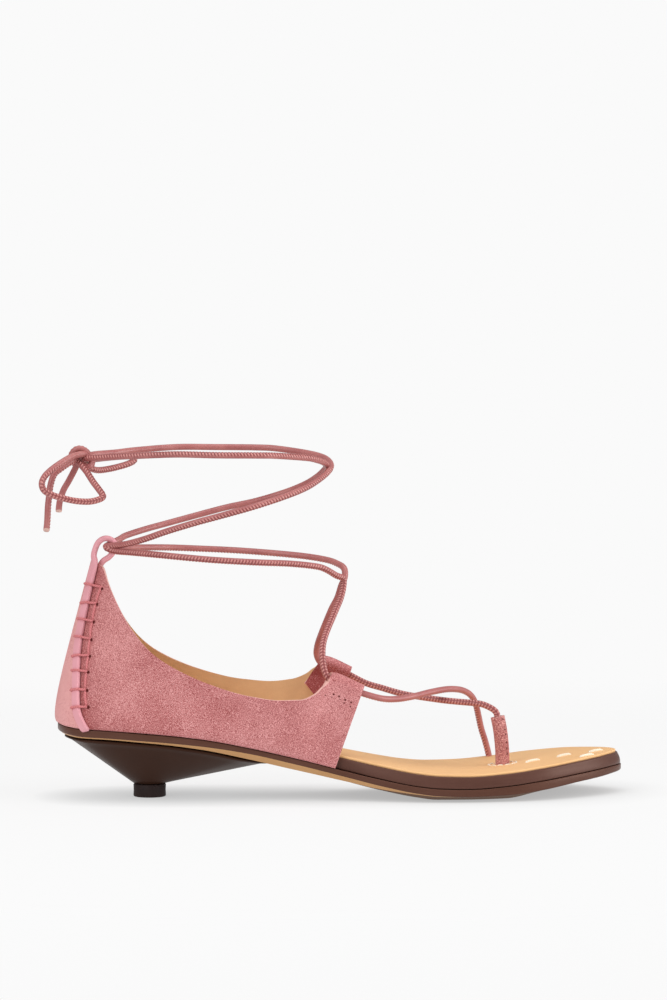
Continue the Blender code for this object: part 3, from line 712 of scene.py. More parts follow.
@dataclass(frozen=True)
class Lacquer:
    """Dark lacquer on the heel block, with a soft even gloss."""

    name: str
    shade: Colour
    light: Colour
    roughness: float = 0.38
    gloss: float = 0.2
    sheen: Colour = (1.0, 0.5, 0.36)
    cloud: float = 20.0 * MM
    cloud_weight: float = 1.4
    cloud_wear: float = 0.2
    fleck: float = 0.7 * MM
    fleck_wear: float = 0.1
    relief: float = 0.02 * MM
    slope: float = 0.6

    def material(self) -> Material:
        """Makes the material.

        Returns:
            The material.
        """
        shader = Shader(self.name)
        cloud = shader.noise(self.cloud, CLOUD_DETAIL)
        fleck = shader.noise(self.fleck)
        return shader.surface({
            "Base Color": shader.mix(EVEN + cloud.swing(self.cloud_weight), self.shade, self.light),
            "Roughness": self.roughness + cloud.swing(self.cloud_wear) + fleck.swing(self.fleck_wear),
            "Specular IOR Level": self.gloss,
            "Specular Tint": self.sheen,
            "Normal": shader.bump(fleck, self.relief, self.slope),
        })


@dataclass(frozen=True)
class Rubber:
    """Moulded rubber of the top piece, dusty and matt."""

    name: str
    shade: Colour
    light: Colour
    roughness: float = 0.62
    gloss: float = 0.2
    dust: float = 2.2 * MM
    dust_weight: float = 1.2
    dust_wear: float = 0.2
    fleck: float = 0.4 * MM
    fleck_weight: float = 0.6
    relief: float = 0.06 * MM

    def material(self) -> Material:
        """Makes the material.

        Returns:
            The material.
        """
        shader = Shader(self.name)
        dust = shader.noise(self.dust, CLOUD_DETAIL)
        fleck = shader.noise(self.fleck)
        tone = EVEN + dust.swing(self.dust_weight) + fleck.swing(self.fleck_weight)
        return shader.surface({
            "Base Color": shader.mix(tone, self.shade, self.light),
            "Roughness": self.roughness + dust.swing(self.dust_wear),
            "Specular IOR Level": self.gloss,
            "Normal": shader.bump(fleck, self.relief),
        })


@dataclass(frozen=True)
class Thread:
    """Waxed sewing thread with its twist, painted darker in the twist's grooves and lighter on its crowns as
    painted shade and highlight.
    """

    name: str
    shade: Colour
    light: Colour
    roughness: float = 0.7
    twist_weight: float = 0.9
    fibre: float = 0.22 * MM
    fibre_weight: float = 0.6
    relief: float = 0.06 * MM

    def material(self) -> Material:
        """Makes the material.

        Returns:
            The material.
        """
        shader = Shader(self.name)
        fibre = shader.noise(self.fibre)
        # Painted shade in the twist's grooves and painted highlight on its crowns.
        tone = EVEN + shader.mark(PAINTED_LIGHT_MARK).swing(self.twist_weight) + fibre.swing(self.fibre_weight)
        return shader.surface({
            "Base Color": shader.mix(tone, self.shade, self.light),
            "Roughness": self.roughness,
            "Normal": shader.bump(fibre, self.relief),
        })


# Its deep colour also serves as painted shade on the tab flaps and beside the back seam, its raised colour as
# painted light behind the seam.
SUEDE = Suede("pink_suede", (0.27, 0.054, 0.052), (0.57, 0.206, 0.206), (0.82, 0.42, 0.41))
POST_SUEDE = Suede("post_suede", (0.17, 0.03, 0.03), (0.47, 0.152, 0.155), (0.84, 0.46, 0.42))
CUT_EDGE = SmoothLeather("suede_cut_edge", (0.76, 0.40, 0.36), (0.88, 0.54, 0.48), 0.85)
LINING = TanLeather("tan_lining", (0.56, 0.31, 0.15), (0.72, 0.43, 0.215), 0.62, crease=0.6)
INSOLE_LEATHER = TanLeather("insole_leather", (0.83, 0.475, 0.205), (0.92, 0.56, 0.27), 0.58)
BARE_LEATHER = TanLeather("bare_sole_leather", (0.56, 0.29, 0.12), (0.70, 0.40, 0.18), 0.66)
# The tread is painted dark as shade under the sole.
TREAD_SHADE = TanLeather("tread_painted_shade", (0.12, 0.06, 0.035), (0.22, 0.115, 0.065), 0.75)
SOLE_PAINT = EdgePaint("sole_edge_paint", (0.072, 0.027, 0.017), (0.122, 0.053, 0.037))
PLATFORM_PAINT = EdgePaint("platform_paint", (0.080, 0.033, 0.024), (0.116, 0.052, 0.040))
HEEL_LACQUER = Lacquer("heel_lacquer", (0.025, 0.010, 0.006), (0.042, 0.018, 0.011))
TIP_RUBBER = Rubber("tip_rubber", (0.013, 0.006, 0.006), (0.030, 0.016, 0.014))
PIPING_LEATHER = SmoothLeather("piping_leather", (0.71, 0.31, 0.345), (0.84, 0.40, 0.455), 0.46)
# Tie leather: groove colour as painted shade, plain leather, ridge colour as painted highlight.
TIE_LEATHER = LaceLeather("tie_leather", (0.25, 0.056, 0.054), (0.38, 0.110, 0.108), (0.67, 0.29, 0.26))
CORE = SmoothLeather("tie_core", (0.72, 0.44, 0.38), (0.86, 0.60, 0.52), 0.85)
SEAM_THREAD = Thread("coral_thread", (0.50, 0.125, 0.135), (0.76, 0.26, 0.265))
CREAM_THREAD = Thread("cream_thread", (0.84, 0.70, 0.52), (0.96, 0.88, 0.76))
# Dark discs of painted shade where the needle holes are.
HOLE_SHADE = SmoothLeather("needle_hole_painted_shade", (0.07, 0.010, 0.010), (0.15, 0.028, 0.026), 0.9, gloss=0.08)


class MonotoneCurve:
    """A smooth function through knots that is flat between equal values and never overshoots."""

    def __init__(self, knots: Sequence[float], values: Sequence[float]) -> None:
        """Works out the slope at each knot.

        Args:
            knots: Places, in rising order.
            values: The value at each place.
        """
        self.knots = np.asarray(knots, float)
        self.values = np.asarray(values, float)
        self.step = np.diff(self.knots)
        slope = np.diff(self.values) / self.step
        self.tangent = np.zeros_like(self.values)
        self.tangent[0] = slope[0]
        self.tangent[-1] = slope[-1]
        for i in range(1, len(self.values) - 1):
            if slope[i - 1] * slope[i] > 0.0:
                before = 2.0 * self.step[i] + self.step[i - 1]
                after = self.step[i] + 2.0 * self.step[i - 1]
                self.tangent[i] = (before + after) / (before / slope[i - 1] + after / slope[i])

    def __call__(self, place: float) -> float:
        """Reads the curve.

        Args:
            place: Where to read it.

        Returns:
            The value there.
        """
        i = min(max(int(np.searchsorted(self.knots, place)) - 1, 0), len(self.step) - 1)
        t = (place - self.knots[i]) / self.step[i]
        rise = t * t * (3.0 - 2.0 * t)
        lead = t * (1.0 - t) ** 2 * self.tangent[i] * self.step[i]
        trail = t * t * (t - 1.0) * self.tangent[i + 1] * self.step[i]
        return float(self.values[i] * (1.0 - rise) + self.values[i + 1] * rise + lead + trail)


class Outline:
    """A closed plan shape with rounded ends, from a table of sections.

    A place on it is an angle: 0 at the back end, -pi or pi at the front end, negative on the lateral side.
    """

    def __init__(self, columns: Sequence[str], rows: Table, stations: int, round_steps: int) -> None:
        """Reads the table.

        Args:
            columns: Names of its columns.
            rows: A row for each section, in millimetres.
            stations: Points of a ring on each side.
            round_steps: Bands of a rounded edge.
        """
        self.stations = stations
        self.round_steps = round_steps
        table = dict(zip(columns, np.array(rows).T * MM))
        self.back = table["x"][0]
        self.length = table["x"][-1] - self.back
        angles = [self.angle(x) for x in table["x"]]
        self.read = {name: MonotoneCurve(angles, table[name]) for name in columns}

    def angle(self, x: float) -> float:
        """The angle of a section."""
        along = min(max((x - self.back) / self.length, 0.0), 1.0)
        return math.acos(1.0 - 2.0 * along)

    def height(self, column: str, x: float) -> float:
        """A column's value at a section."""
        return self.read[column](self.angle(x))

    def point(self, angle: float) -> Vector:
        """A point in plan.

        Args:
            angle: Its place on the outline.

        Returns:
            The point.
        """
        side = "lateral" if angle < 0.0 else "medial"
        x = self.back + self.length * (1.0 - math.cos(angle)) / 2.0
        return Vector((x, self.read[side](abs(angle)), 0.0))

    def outward(self, angle: float) -> Vector:
        """The unit plan normal at an angle, pointing away from the inside."""
        along = self.point(angle + PROBE) - self.point(angle - PROBE)
        return Vector((-along.y, along.x, 0.0)).normalized()

    def ring(self, inset: Measure, height: Measure) -> list[Vector]:
        """Points once round: the back, the lateral side, the front, the medial side back again.

        Args:
            inset: How far the ring stands inside the outline.
            height: Its height.

        Returns:
            The points.
        """
        step = math.pi / self.stations
        lateral = [-step * i for i in range(self.stations)]
        medial = [step * i for i in range(self.stations, 0, -1)]
        points = []
        for angle in lateral + medial:
            place = self.point(angle)
            moved = place - self.outward(angle) * inset(place.x)
            points.append(Vector((moved.x, moved.y, height(moved.x))))
        return points

    def rounded(
        self, inset: Measure, height: Measure, radius: float, top: bool = True
    ) -> list[list[Vector]]:
        """Rings that round an edge of a layer.

        Args:
            inset: How far the layer's side stands inside the outline there.
            height: Height of the edge.
            radius: Radius of the rounding.
            top: Whether the edge is an upper one.

        Returns:
            The rings, lowest first.
        """
        rings = []
        for i in range(self.round_steps + 1):
            turn = 0.5 * math.pi * i / self.round_steps
            if not top:
                turn = 0.5 * math.pi - turn
            moved = radius * (1.0 - math.cos(turn))
            drop = radius * (1.0 - math.sin(turn)) * (1.0 if top else -1.0)
            rings.append(self.ring(lambda x, m=moved: inset(x) + m, lambda x, d=drop: height(x) - d))
        return rings


class UpperSurface:
    """The outer face of the suede wall, as a function of place round it and height up it.

    A place counts table rows from the back of the heel, negative on the lateral side. A height runs from 0 on
    the sole to 1 on the topline.
    """

    BULGE_RISE = 0.45  # below 1, the wall swells out low down, just above the sole
    TAB_ROLL = 3.8 * MM  # outer radius of the fold that the lace runs through
    TAB_FLAP = (12.0 * MM, 20.0 * MM)  # length of the flap at its rear and at its front edge
    TAB_CLOSED = 7.0 * MM  # the flap lies against the wall from this far down
    TAB_LEAN = math.radians(9.5)  # the flap hangs back by this angle
    TAB_SKEW = 2.7 * MM  # the fold's inner side reaches this much further back at its rear edge
    TAB_CURL = 2.5 * MM  # the flap's rear corner stands this much further off the lining
    TAB_SEAT = 2.0 * WALL + 0.8 * MM  # from the wall's outer face in to the flap's
    TAB_LEAD = 0.5  # rows over which the edge curls up behind a tab
    LEAD_RISE = 1.6  # above 1, it curls up late
    ROLL_STEPS = 16
    FLAP_STEPS = 14
    SEAT_STEPS = 8
    SEAT_START = 0.8  # height up the wall where the search for a seat starts

    def __init__(self, sole: Outline) -> None:
        """Reads the tables.

        Args:
            sole: The outline that the wall stands on.
        """
        self.sole = sole
        lateral = np.array(COUNTER_ROWS + LATERAL_ROWS)
        medial = np.array(COUNTER_ROWS + MEDIAL_ROWS)
        self.front = len(medial) - 1
        places = np.arange(-self.front, self.front + 1)
        lateral[:, UPPER_COLUMNS.index("top_y")] *= -1.0
        rows = np.concatenate([lateral[:0:-1], medial]) * MM
        table = dict(zip(UPPER_COLUMNS, rows.T))
        angles = [math.copysign(sole.angle(x), place) for x, place in zip(table["base_x"], places)]
        self.angle = MonotoneCurve(places, angles)
        self.read = {name: MonotoneCurve(places, table[name]) for name in UPPER_COLUMNS[1:]}
        seam = dict(zip(SEAM_COLUMNS, np.array(SEAM_ROWS).T))
        self.seam = MonotoneCurve(seam["up"], seam["round"])
        self.sections: dict[float, tuple[Vector, Vector, Vector]] = {}

    def section(self, place: float) -> tuple[Vector, Vector, Vector]:
        """A section of the wall, worked out once.

        Args:
            place: Its place.

        Returns:
            Its foot, its top and its swell.
        """
        if place not in self.sections:
            angle = self.angle(place)
            base = self.sole.point(angle)
            base.z = self.sole.height("rim", base.x) + GAP
            top = Vector([self.read[name](place) for name in ("top_x", "top_y", "top_z")])
            self.sections[place] = base, top, self.sole.outward(angle) * self.read["bulge"](place)
        return self.sections[place]

    def point(self, place: float, up: float) -> Vector:
        """The point at a place and a height."""
        base, top, swell = self.section(place)
        return base.lerp(top, up) + swell * math.sin(math.pi * up**self.BULGE_RISE)

    def tangents(self, place: float, up: float) -> tuple[Vector, Vector, Vector]:
        """Directions at a point of the wall.

        Args:
            place: Its place.
            up: Its height.

        Returns:
            Unit vectors round the wall towards the medial front, up it, and out of it.
        """
        round_it = self.point(place + PROBE, up) - self.point(place - PROBE, up)
        up_it = self.point(place, min(up + PROBE, 1.0)) - self.point(place, max(up - PROBE, 0.0))
        outward = up_it.cross(round_it).normalized()
        round_it.normalize()
        return round_it, round_it.cross(outward).normalized(), outward

    def lifted(self, place: float, up: float, lift: float) -> Vector:
        """A point that stands off the wall by lift."""
        return self.point(place, up) + self.tangents(place, up)[2] * lift

    def seat(self, point: Vector, place: float) -> tuple[float, float]:
        """Seeks the point of the wall that shares a point's x and z.

        Args:
            point: The point.
            place: A place near it, where the search starts.

        Returns:
            Place and height on the wall.
        """
        up = self.SEAT_START
        for _ in range(self.SEAT_STEPS):
            here = self.point(place, up)
            round_it = (self.point(place + PROBE, up) - here) / PROBE
            up_it = (self.point(place, up + PROBE) - here) / PROBE
            slopes = np.array([[round_it.x, up_it.x], [round_it.z, up_it.z]])
            step = np.linalg.solve(slopes, (point.x - here.x, point.z - here.z))
            place, up = place + step[0], up + step[1]
        return place, up

    def rolled(self, place: float, reach: float, steps: int) -> list[Vector]:
        """Points over the topline's roll.

        Args:
            place: Where on the topline.
            reach: The angle at which they stop.
            steps: How many points.

        Returns:
            The points, from the outside in.
        """
        _, upward, outward = self.tangents(place, 1.0)
        centre = self.point(place, 1.0) - outward * self.TAB_ROLL
        turns = [reach * i / steps for i in range(1, steps + 1)]
        return [centre + (outward * math.cos(t) + upward * math.sin(t)) * self.TAB_ROLL for t in turns]

    def lead_row(self, place: float) -> list[Vector]:
        """Points of the edge that curls up behind a tab until it meets the tab's fold."""
        share = 1.0 - (self.front - 1 - abs(place)) / self.TAB_LEAD
        return self.rolled(place, math.asin(share**self.LEAD_RISE), self.ROLL_STEPS // 2)

    def tab_row(self, place: float) -> list[Vector]:
        """Points over a tab's fold and down its flap.

        Args:
            place: Where on the topline they start.

        Returns:
            The points, from the topline inwards.
        """
        round_it, upward, _ = self.tangents(math.copysign(self.front, place), 1.0)
        forward = round_it * math.copysign(1.0, place)
        lean = upward * math.cos(self.TAB_LEAN) + forward * math.sin(self.TAB_LEAN)
        behind = self.front - abs(place)
        length = self.TAB_FLAP[1] + (self.TAB_FLAP[0] - self.TAB_FLAP[1]) * behind
        points = self.rolled(place, math.pi, self.ROLL_STEPS)
        for i in range(self.ROLL_STEPS // 2, self.ROLL_STEPS):
            points[i] -= forward * (self.TAB_SKEW * behind * (2.0 * (i + 1) / self.ROLL_STEPS - 1.0))
        fold = points[-1]
        for i in range(1, self.FLAP_STEPS + 1):
            down = length * i / self.FLAP_STEPS
            closing = min(down / self.TAB_CLOSED, 1.0)
            inward = 2.0 * self.TAB_ROLL * (1.0 - closing) + self.TAB_SEAT * closing
            inward += self.TAB_CURL * behind**2 * i / self.FLAP_STEPS
            hung = fold - lean * down
            hung.y = self.point(*self.seat(hung, place)).y - math.copysign(inward, place)
            points.append(hung)
        return points

    def tunnel(self, side: Side, start: float, stop: float, steps: int = 4) -> list[Vector]:
        """Points along the inside of a tab's fold, from its rear end at 0 to its front end at 1.

        Args:
            side: Which tab.
            start: Where to begin.
            stop: Where to end.
            steps: How many spans.

        Returns:
            The points.
        """
        points = []
        for i in range(steps + 1):
            place = side.value * (self.front - 1 + start + (stop - start) * i / steps)
            points.append(self.point(place, 1.0) - self.tangents(place, 1.0)[2] * self.TAB_ROLL)
        return points


SOLE = Outline(SOLE_COLUMNS, SOLE_ROWS, stations=150, round_steps=4)
SEAT = Outline(SEAT_COLUMNS, SEAT_ROWS, stations=120, round_steps=3)
UPPER = UpperSurface(SOLE)
INSETS = dict(zip(INSET_COLUMNS, np.array(INSET_ROWS).T * MM))
INSET = {name: MonotoneCurve(INSETS["x"], INSETS[name]) for name in INSET_COLUMNS[1:]}


def rim_height(x: float) -> float:
    """Top of the outsole's edge at a section."""
    return SOLE.height("rim", x)


def midsole_height(x: float) -> float:
    """Top of the midsole at a section."""
    return rim_height(x) + GAP + MIDSOLE_THICKNESS


def insole_height(x: float) -> float:
    """Top of the insole at a section."""
    return midsole_height(x) + GAP + INSOLE_THICKNESS


def seat_height(x: float) -> float:
    """Top of the heel block at a section."""
    return SOLE.height("tread", x) - GAP


def on_insole(x: float, y: float, lift: float) -> Vector:
    """A point over the insole, in metres on the last."""
    return Vector((x, y, insole_height(x) + lift))


def scaled(route: Iterable[Sequence[float]]) -> list[Vector]:
    """A route's points in metres."""
    return [Vector(point) * MM for point in route]


@dataclass
class Draft:
    """Points and faces of a mesh being drawn, in metres on the last."""

    points: list[Triple] = field(default_factory=list)
    faces: list[tuple[int, ...]] = field(default_factory=list)
    slots: list[int] = field(default_factory=list)
    ridges: list[float] = field(default_factory=list)

    def add(
        self, points: Iterable, faces: Iterable, slot: int = 0, ridges: Optional[Iterable[float]] = None
    ) -> None:
        """Adds a patch.

        Args:
            points: Its points.
            faces: Its faces, counted from the patch's first point.
            slot: The material slot of its faces.
            ridges: Height of the relief at each point, from 0 to 1, or the suede's tone; either sets painted
                light and shade.
        """
        first = len(self.points)
        self.points += [tuple(point) for point in points]
        made = [tuple(first + i for i in face) for face in faces]
        self.faces += made
        self.slots += [slot] * len(made)
        count = len(self.points) - first
        self.ridges += list(ridges) if ridges is not None else [EVEN] * count

    def loft(self, rings: Sequence[Sequence], slots: Sequence[int], closed: bool = True) -> None:
        """Adds faces between rings of equal length.

        Args:
            rings: The rings, in an order that turns the faces out.
            slots: Material slot of each band.
            closed: Whether each ring closes on itself.
        """
        count = len(rings[0])
        spans = count if closed else count - 1
        for band, (low, high) in enumerate(zip(rings, rings[1:])):
            faces = [(i, (i + 1) % count, count + (i + 1) % count, count + i) for i in range(spans)]
            self.add([*low, *high], faces, slots[band])

    def strips(self, ring: Sequence, slot: int, upward: bool) -> None:
        """Closes a ring of an outline with strips across it.

        Args:
            ring: The ring.
            slot: Material slot of the strips.
            upward: Whether they face up.
        """
        count = len(ring)
        half = count // 2
        faces = [(0, 1, count - 1), (half - 1, half, half + 1)]
        faces += [(i, i + 1, count - i - 1, count - i) for i in range(1, half - 1)]
        if not upward:
            faces = [tuple(reversed(face)) for face in faces]
        self.add(ring, faces, slot)

    def stack(self, rings: Sequence[Sequence], slots: Optional[Sequence[int]] = None) -> None:
        """Adds a closed layer: faces between rings of an outline, and strips across the first and the last.

        Args:
            rings: The rings, lowest first.
            slots: Material slot of each band, or None for the first slot throughout.
        """
        bands = slots or [0] * (len(rings) - 1)
        self.strips(rings[0], bands[0], upward=False)
        self.loft(rings, bands)
        self.strips(rings[-1], bands[-1], upward=True)

    def build(self, name: str, finishes: Sequence[Finish], sharp: float = 40.0) -> Object:
        """Makes the object, in the part's frame.

        Args:
            name: The piece's name.
            finishes: Its finishes, by slot.
            sharp: Edges that turn further than this many degrees are shaded sharp.

        Returns:
            The object.
        """
        mesh = bpy.data.meshes.new(name)
        points = np.array(self.points) - np.array(LAST_ORIGIN)
        mesh.from_pydata(points.tolist(), [], self.faces)
        for finish in finishes:
            mesh.materials.append(finish.material())
        mesh.polygons.foreach_set("material_index", self.slots)
        mesh.attributes.new(PAINTED_LIGHT_MARK, "FLOAT", "POINT").data.foreach_set("value", self.ridges)
        mesh.shade_smooth()
        mesh.set_sharp_from_angle(angle=math.radians(sharp))
        obj = bpy.data.objects.new(name, mesh)
        bpy.context.scene.collection.objects.link(obj)
        return obj

    def piece(self, name: str, finishes: Sequence[Finish], slot: Slot, *nodes: str) -> Object:
        """Makes the object with its bands joined, and places it on the shoe.

        Args:
            name: The piece's name.
            finishes: Its finishes, by slot.
            slot: The record's material slot.
            nodes: The solids that it replaces.

        Returns:
            The object.
        """
        return place(welded(self.build(name, finishes)), slot, *nodes)


def welded(obj: Object) -> Object:
    """Joins the points that bands share, so that shading runs over them.

    Args:
        obj: The piece.

    Returns:
        The same piece.
    """
    weld = obj.modifiers.new("joined bands", "WELD")
    weld.merge_threshold = WELD
    return obj


def place(obj: Object, slot: Slot, *nodes: str) -> Object:
    """Rides a piece on the shoe and hides what it stands for.

    Args:
        obj: The piece.
        slot: The record's material slot; not used.
        nodes: The solids that it replaces.

    Returns:
        The same piece.
    """
    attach(obj, BODY)
    if nodes:
        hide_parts(*nodes)
    LOG.info("%s: %d faces, replaces %s", obj.name, len(obj.data.polygons), ", ".join(nodes) or "nothing")
    return obj


def smooth_line(route: Sequence[Vector], step: float) -> np.ndarray:
    """Evenly spaced points on a smooth curve through a route.

    Args:
        route: The points that the curve passes.
        step: Distance between the points returned.

    Returns:
        The points, one a row.
    """
    knots = [np.array(point) for point in route]
    ends = [2.0 * knots[0] - knots[1], *knots, 2.0 * knots[-1] - knots[-2]]
    t = np.arange(CURVE_SPANS)[:, None] / CURVE_SPANS
    rise = t * t * (3.0 - 2.0 * t)
    fine = []
    for before, start, stop, after in zip(ends, ends[1:], ends[2:], ends[3:]):
        pull = (stop - before) / 2.0 * (t * (1.0 - t) ** 2) + (after - start) / 2.0 * (t * t * (t - 1.0))
        fine.append(start + (stop - start) * rise + pull)
    fine = np.concatenate([*fine, knots[-1][None]])
    along = np.concatenate([[0.0], np.cumsum(np.linalg.norm(np.diff(fine, axis=0), axis=1))])
    places = np.linspace(0.0, along[-1], max(int(along[-1] / step), 2) + 1)
    return np.stack([np.interp(places, along, fine[:, axis]) for axis in range(3)], axis=1)


def line_length(line: np.ndarray) -> float:
    """Length of a line of points."""
    return float(np.linalg.norm(np.diff(line, axis=0), axis=1).sum())


@dataclass
class Cord:
    """A cord swept along a line, with a profile that may vary along it and round it."""

    line: np.ndarray
    radius: float
    face: Vector
    sides: int = 20
    twist: float = 0.0
    twisted_by: float = 1.0
    cut: float = 0.0
    cut_reach: float = 2.4 * MM

    def frames(self) -> tuple[np.ndarray, np.ndarray]:
        """Directions of the cord's face and of its side at each point.

        Returns:
            Two arrays of unit vectors.
        """
        heading = np.gradient(self.line, axis=0)
        heading /= np.linalg.norm(heading, axis=1)[:, None]
        normal = np.array(self.face, float)
        normals = []
        for ahead in heading:
            normal = normal - ahead * (normal @ ahead)
            normal = normal / np.linalg.norm(normal)
            normals.append(normal)
        normals = np.array(normals)
        sideways = np.cross(heading, normals)
        turned = np.clip(np.linspace(0.0, 1.0 / self.twisted_by, len(self.line)), 0.0, 1.0)
        turn = self.twist * turned[:, None]
        faces_out = normals * np.cos(turn) + sideways * np.sin(turn)
        return faces_out, sideways * np.cos(turn) - normals * np.sin(turn)

    def along(self) -> np.ndarray:
        """Distance of each point from the start."""
        steps = np.linalg.norm(np.diff(self.line, axis=0), axis=1)
        return np.concatenate([[0.0], np.cumsum(steps)])

    def sweep(
        self, draft: Draft, profile: Optional[Profile] = None, ridge: Optional[Profile] = None, caps: int = 0
    ) -> None:
        """Adds the cord to a draft.

        Args:
            draft: What to add it to.
            profile: Radius by distance along and angle round, or None for an even one.
            ridge: Height of the relief, the same way.
            caps: Material slot of the two ends.
        """
        faces_out, sideways = self.frames()
        angle = np.linspace(-math.pi, math.pi, self.sides, endpoint=False)[None, :]
        along = self.along()[:, None]
        radius = profile(along, angle) if profile else np.full((len(along), self.sides), self.radius)
        height = ridge(along, angle) if ridge else np.full(radius.shape, EVEN)
        turned = np.cos(angle)[..., None] * faces_out[:, None] + np.sin(angle)[..., None] * sideways[:, None]
        rings = self.line[:, None] + radius[..., None] * turned
        if self.cut:
            ahead = self.line[-1] - self.line[-2]
            ahead = ahead / np.linalg.norm(ahead)
            near_end = np.clip(1.0 - (along[-1] - along) / self.cut_reach, 0.0, 1.0)
            slope = self.cut * near_end * (rings - self.line[:, None])[..., 1]
            rings = rings + slope[..., None] * ahead
        count = len(rings)
        index = np.arange(count * self.sides).reshape(count, self.sides)
        after = np.roll(index, -1, axis=1)
        quads = np.stack([index[:-1], after[:-1], after[1:], index[1:]], axis=-1).reshape(-1, 4)
        draft.add(rings.reshape(-1, 3), quads.tolist(), 0, height.reshape(-1))
        fan = [(i, (i + 1) % self.sides, self.sides) for i in range(self.sides)]
        draft.add([*rings[0], self.line[0]], [face[::-1] for face in fan], caps)
        draft.add([*rings[-1], self.line[-1]], fan, caps)


@dataclass
class LaceCord:
    """A leather tie: a stitched strip folded round a core, so that one face has slanted ridges."""

    radius: float = LACE_RADIUS
    step: float = 0.28 * MM
    pitch: float = 1.4 * MM
    relief: float = 0.24 * MM
    slant: float = 0.42
    open_face: float = math.radians(78.0)
    face_blend: float = 0.3
    centre_line: float = 0.16

    def stitched(self, angle: np.ndarray) -> np.ndarray:
        """Share of the stitched face at an angle, 1 on it and 0 off it."""
        reach = np.clip((self.open_face - np.abs(angle)) / (self.face_blend * self.open_face), 0.0, 1.0)
        return reach * reach * (3.0 - 2.0 * reach)

    def ridge(self, along: np.ndarray, angle: np.ndarray) -> np.ndarray:
        """Height of the ridges.

        Args:
            along: Distances along the tie.
            angle: Angles round it, 0 in the middle of the stitched face.

        Returns:
            Heights from 0 in a groove to 1, and even on the smooth face.
        """
        wave = 0.5 + 0.5 * np.cos(2.0 * math.pi * (along / self.pitch + np.abs(angle) * self.slant))
        centre = np.exp(-((angle / self.centre_line) ** 2))
        share = self.stitched(angle)
        return EVEN * (1.0 - share) + share * wave * (1.0 - centre)

    def profile(self, along: np.ndarray, angle: np.ndarray) -> np.ndarray:
        """Radius with the ridges, which stand about the cord's own."""
        return self.radius + self.relief * (self.ridge(along, angle) - EVEN)

    def sweep(
        self,
        draft: Draft,
        route: Sequence[Vector],
        face: Vector,
        twist: float = 0.0,
        twisted_by: float = 1.0,
        cut: float = 0.0,
    ) -> np.ndarray:
        """Adds a tie to a draft.

        Args:
            draft: What to add it to.
            route: The points that it passes, in metres on the last.
            face: The way its stitched face looks at the start.
            twist: How far that face turns.
            twisted_by: Share of the length by which it has turned.
            cut: Slope of the cut at the far end, positive to show it on the lateral side.

        Returns:
            The points of its centre line.
        """
        line = smooth_line(route, self.step)
        cord = Cord(line, self.radius, face, twist=twist, twisted_by=twisted_by, cut=cut)
        cord.sweep(draft, self.profile, self.ridge, caps=1)
        return line


@dataclass
class Stitch:
    """A short visible length of thread."""

    radius: float
    step: float = 0.18 * MM
    lay: float = 1.1 * MM
    plies: int = 2
    waist: float = 0.9
    swell: float = 0.16
    sides: int = 10

    def ridge(self, along: np.ndarray, angle: np.ndarray) -> np.ndarray:
        """Height of the thread's twist."""
        return 0.5 + 0.5 * np.cos(2.0 * math.pi * along / self.lay + self.plies * angle)

    def profile(self, along: np.ndarray, angle: np.ndarray) -> np.ndarray:
        """Radius with the twist."""
        return self.radius * (self.waist + self.swell * self.ridge(along, angle))

    def sweep(self, draft: Draft, route: Sequence[Vector], face: Vector) -> None:
        """Adds the stitch to a draft.

        Args:
            draft: What to add it to.
            route: The points that it passes.
            face: Any direction across it.
        """
        line = smooth_line(route, self.step)
        Cord(line, self.radius, face, sides=self.sides).sweep(draft, self.profile, self.ridge)


def circle(sides: int) -> list[tuple[float, float]]:
    """Cosine and sine of evenly spaced angles, once round."""
    angles = [2.0 * math.pi * i / sides for i in range(sides)]
    return [(math.cos(angle), math.sin(angle)) for angle in angles]


def paint_hole_shade(draft: Draft, centre: Vector, outward: Vector, radius: float) -> None:
    """Adds a dark disc of painted shade where a needle hole is.

    Args:
        draft: What to add it to.
        centre: Its place on the surface.
        outward: The surface's normal there.
        radius: Its radius.
    """
    across = outward.orthogonal().normalized()
    over = outward.cross(across)
    spokes = [across * cosine + over * sine for cosine, sine in circle(HOLE_SIDES)]
    rings = []
    for share, lift in HOLE_RINGS:
        rings.append([centre + spoke * radius * share + outward * (lift * MM) for spoke in spokes])
    draft.loft(rings, [0] * (len(rings) - 1))
    draft.add(rings[-1], [tuple(range(HOLE_SIDES))])


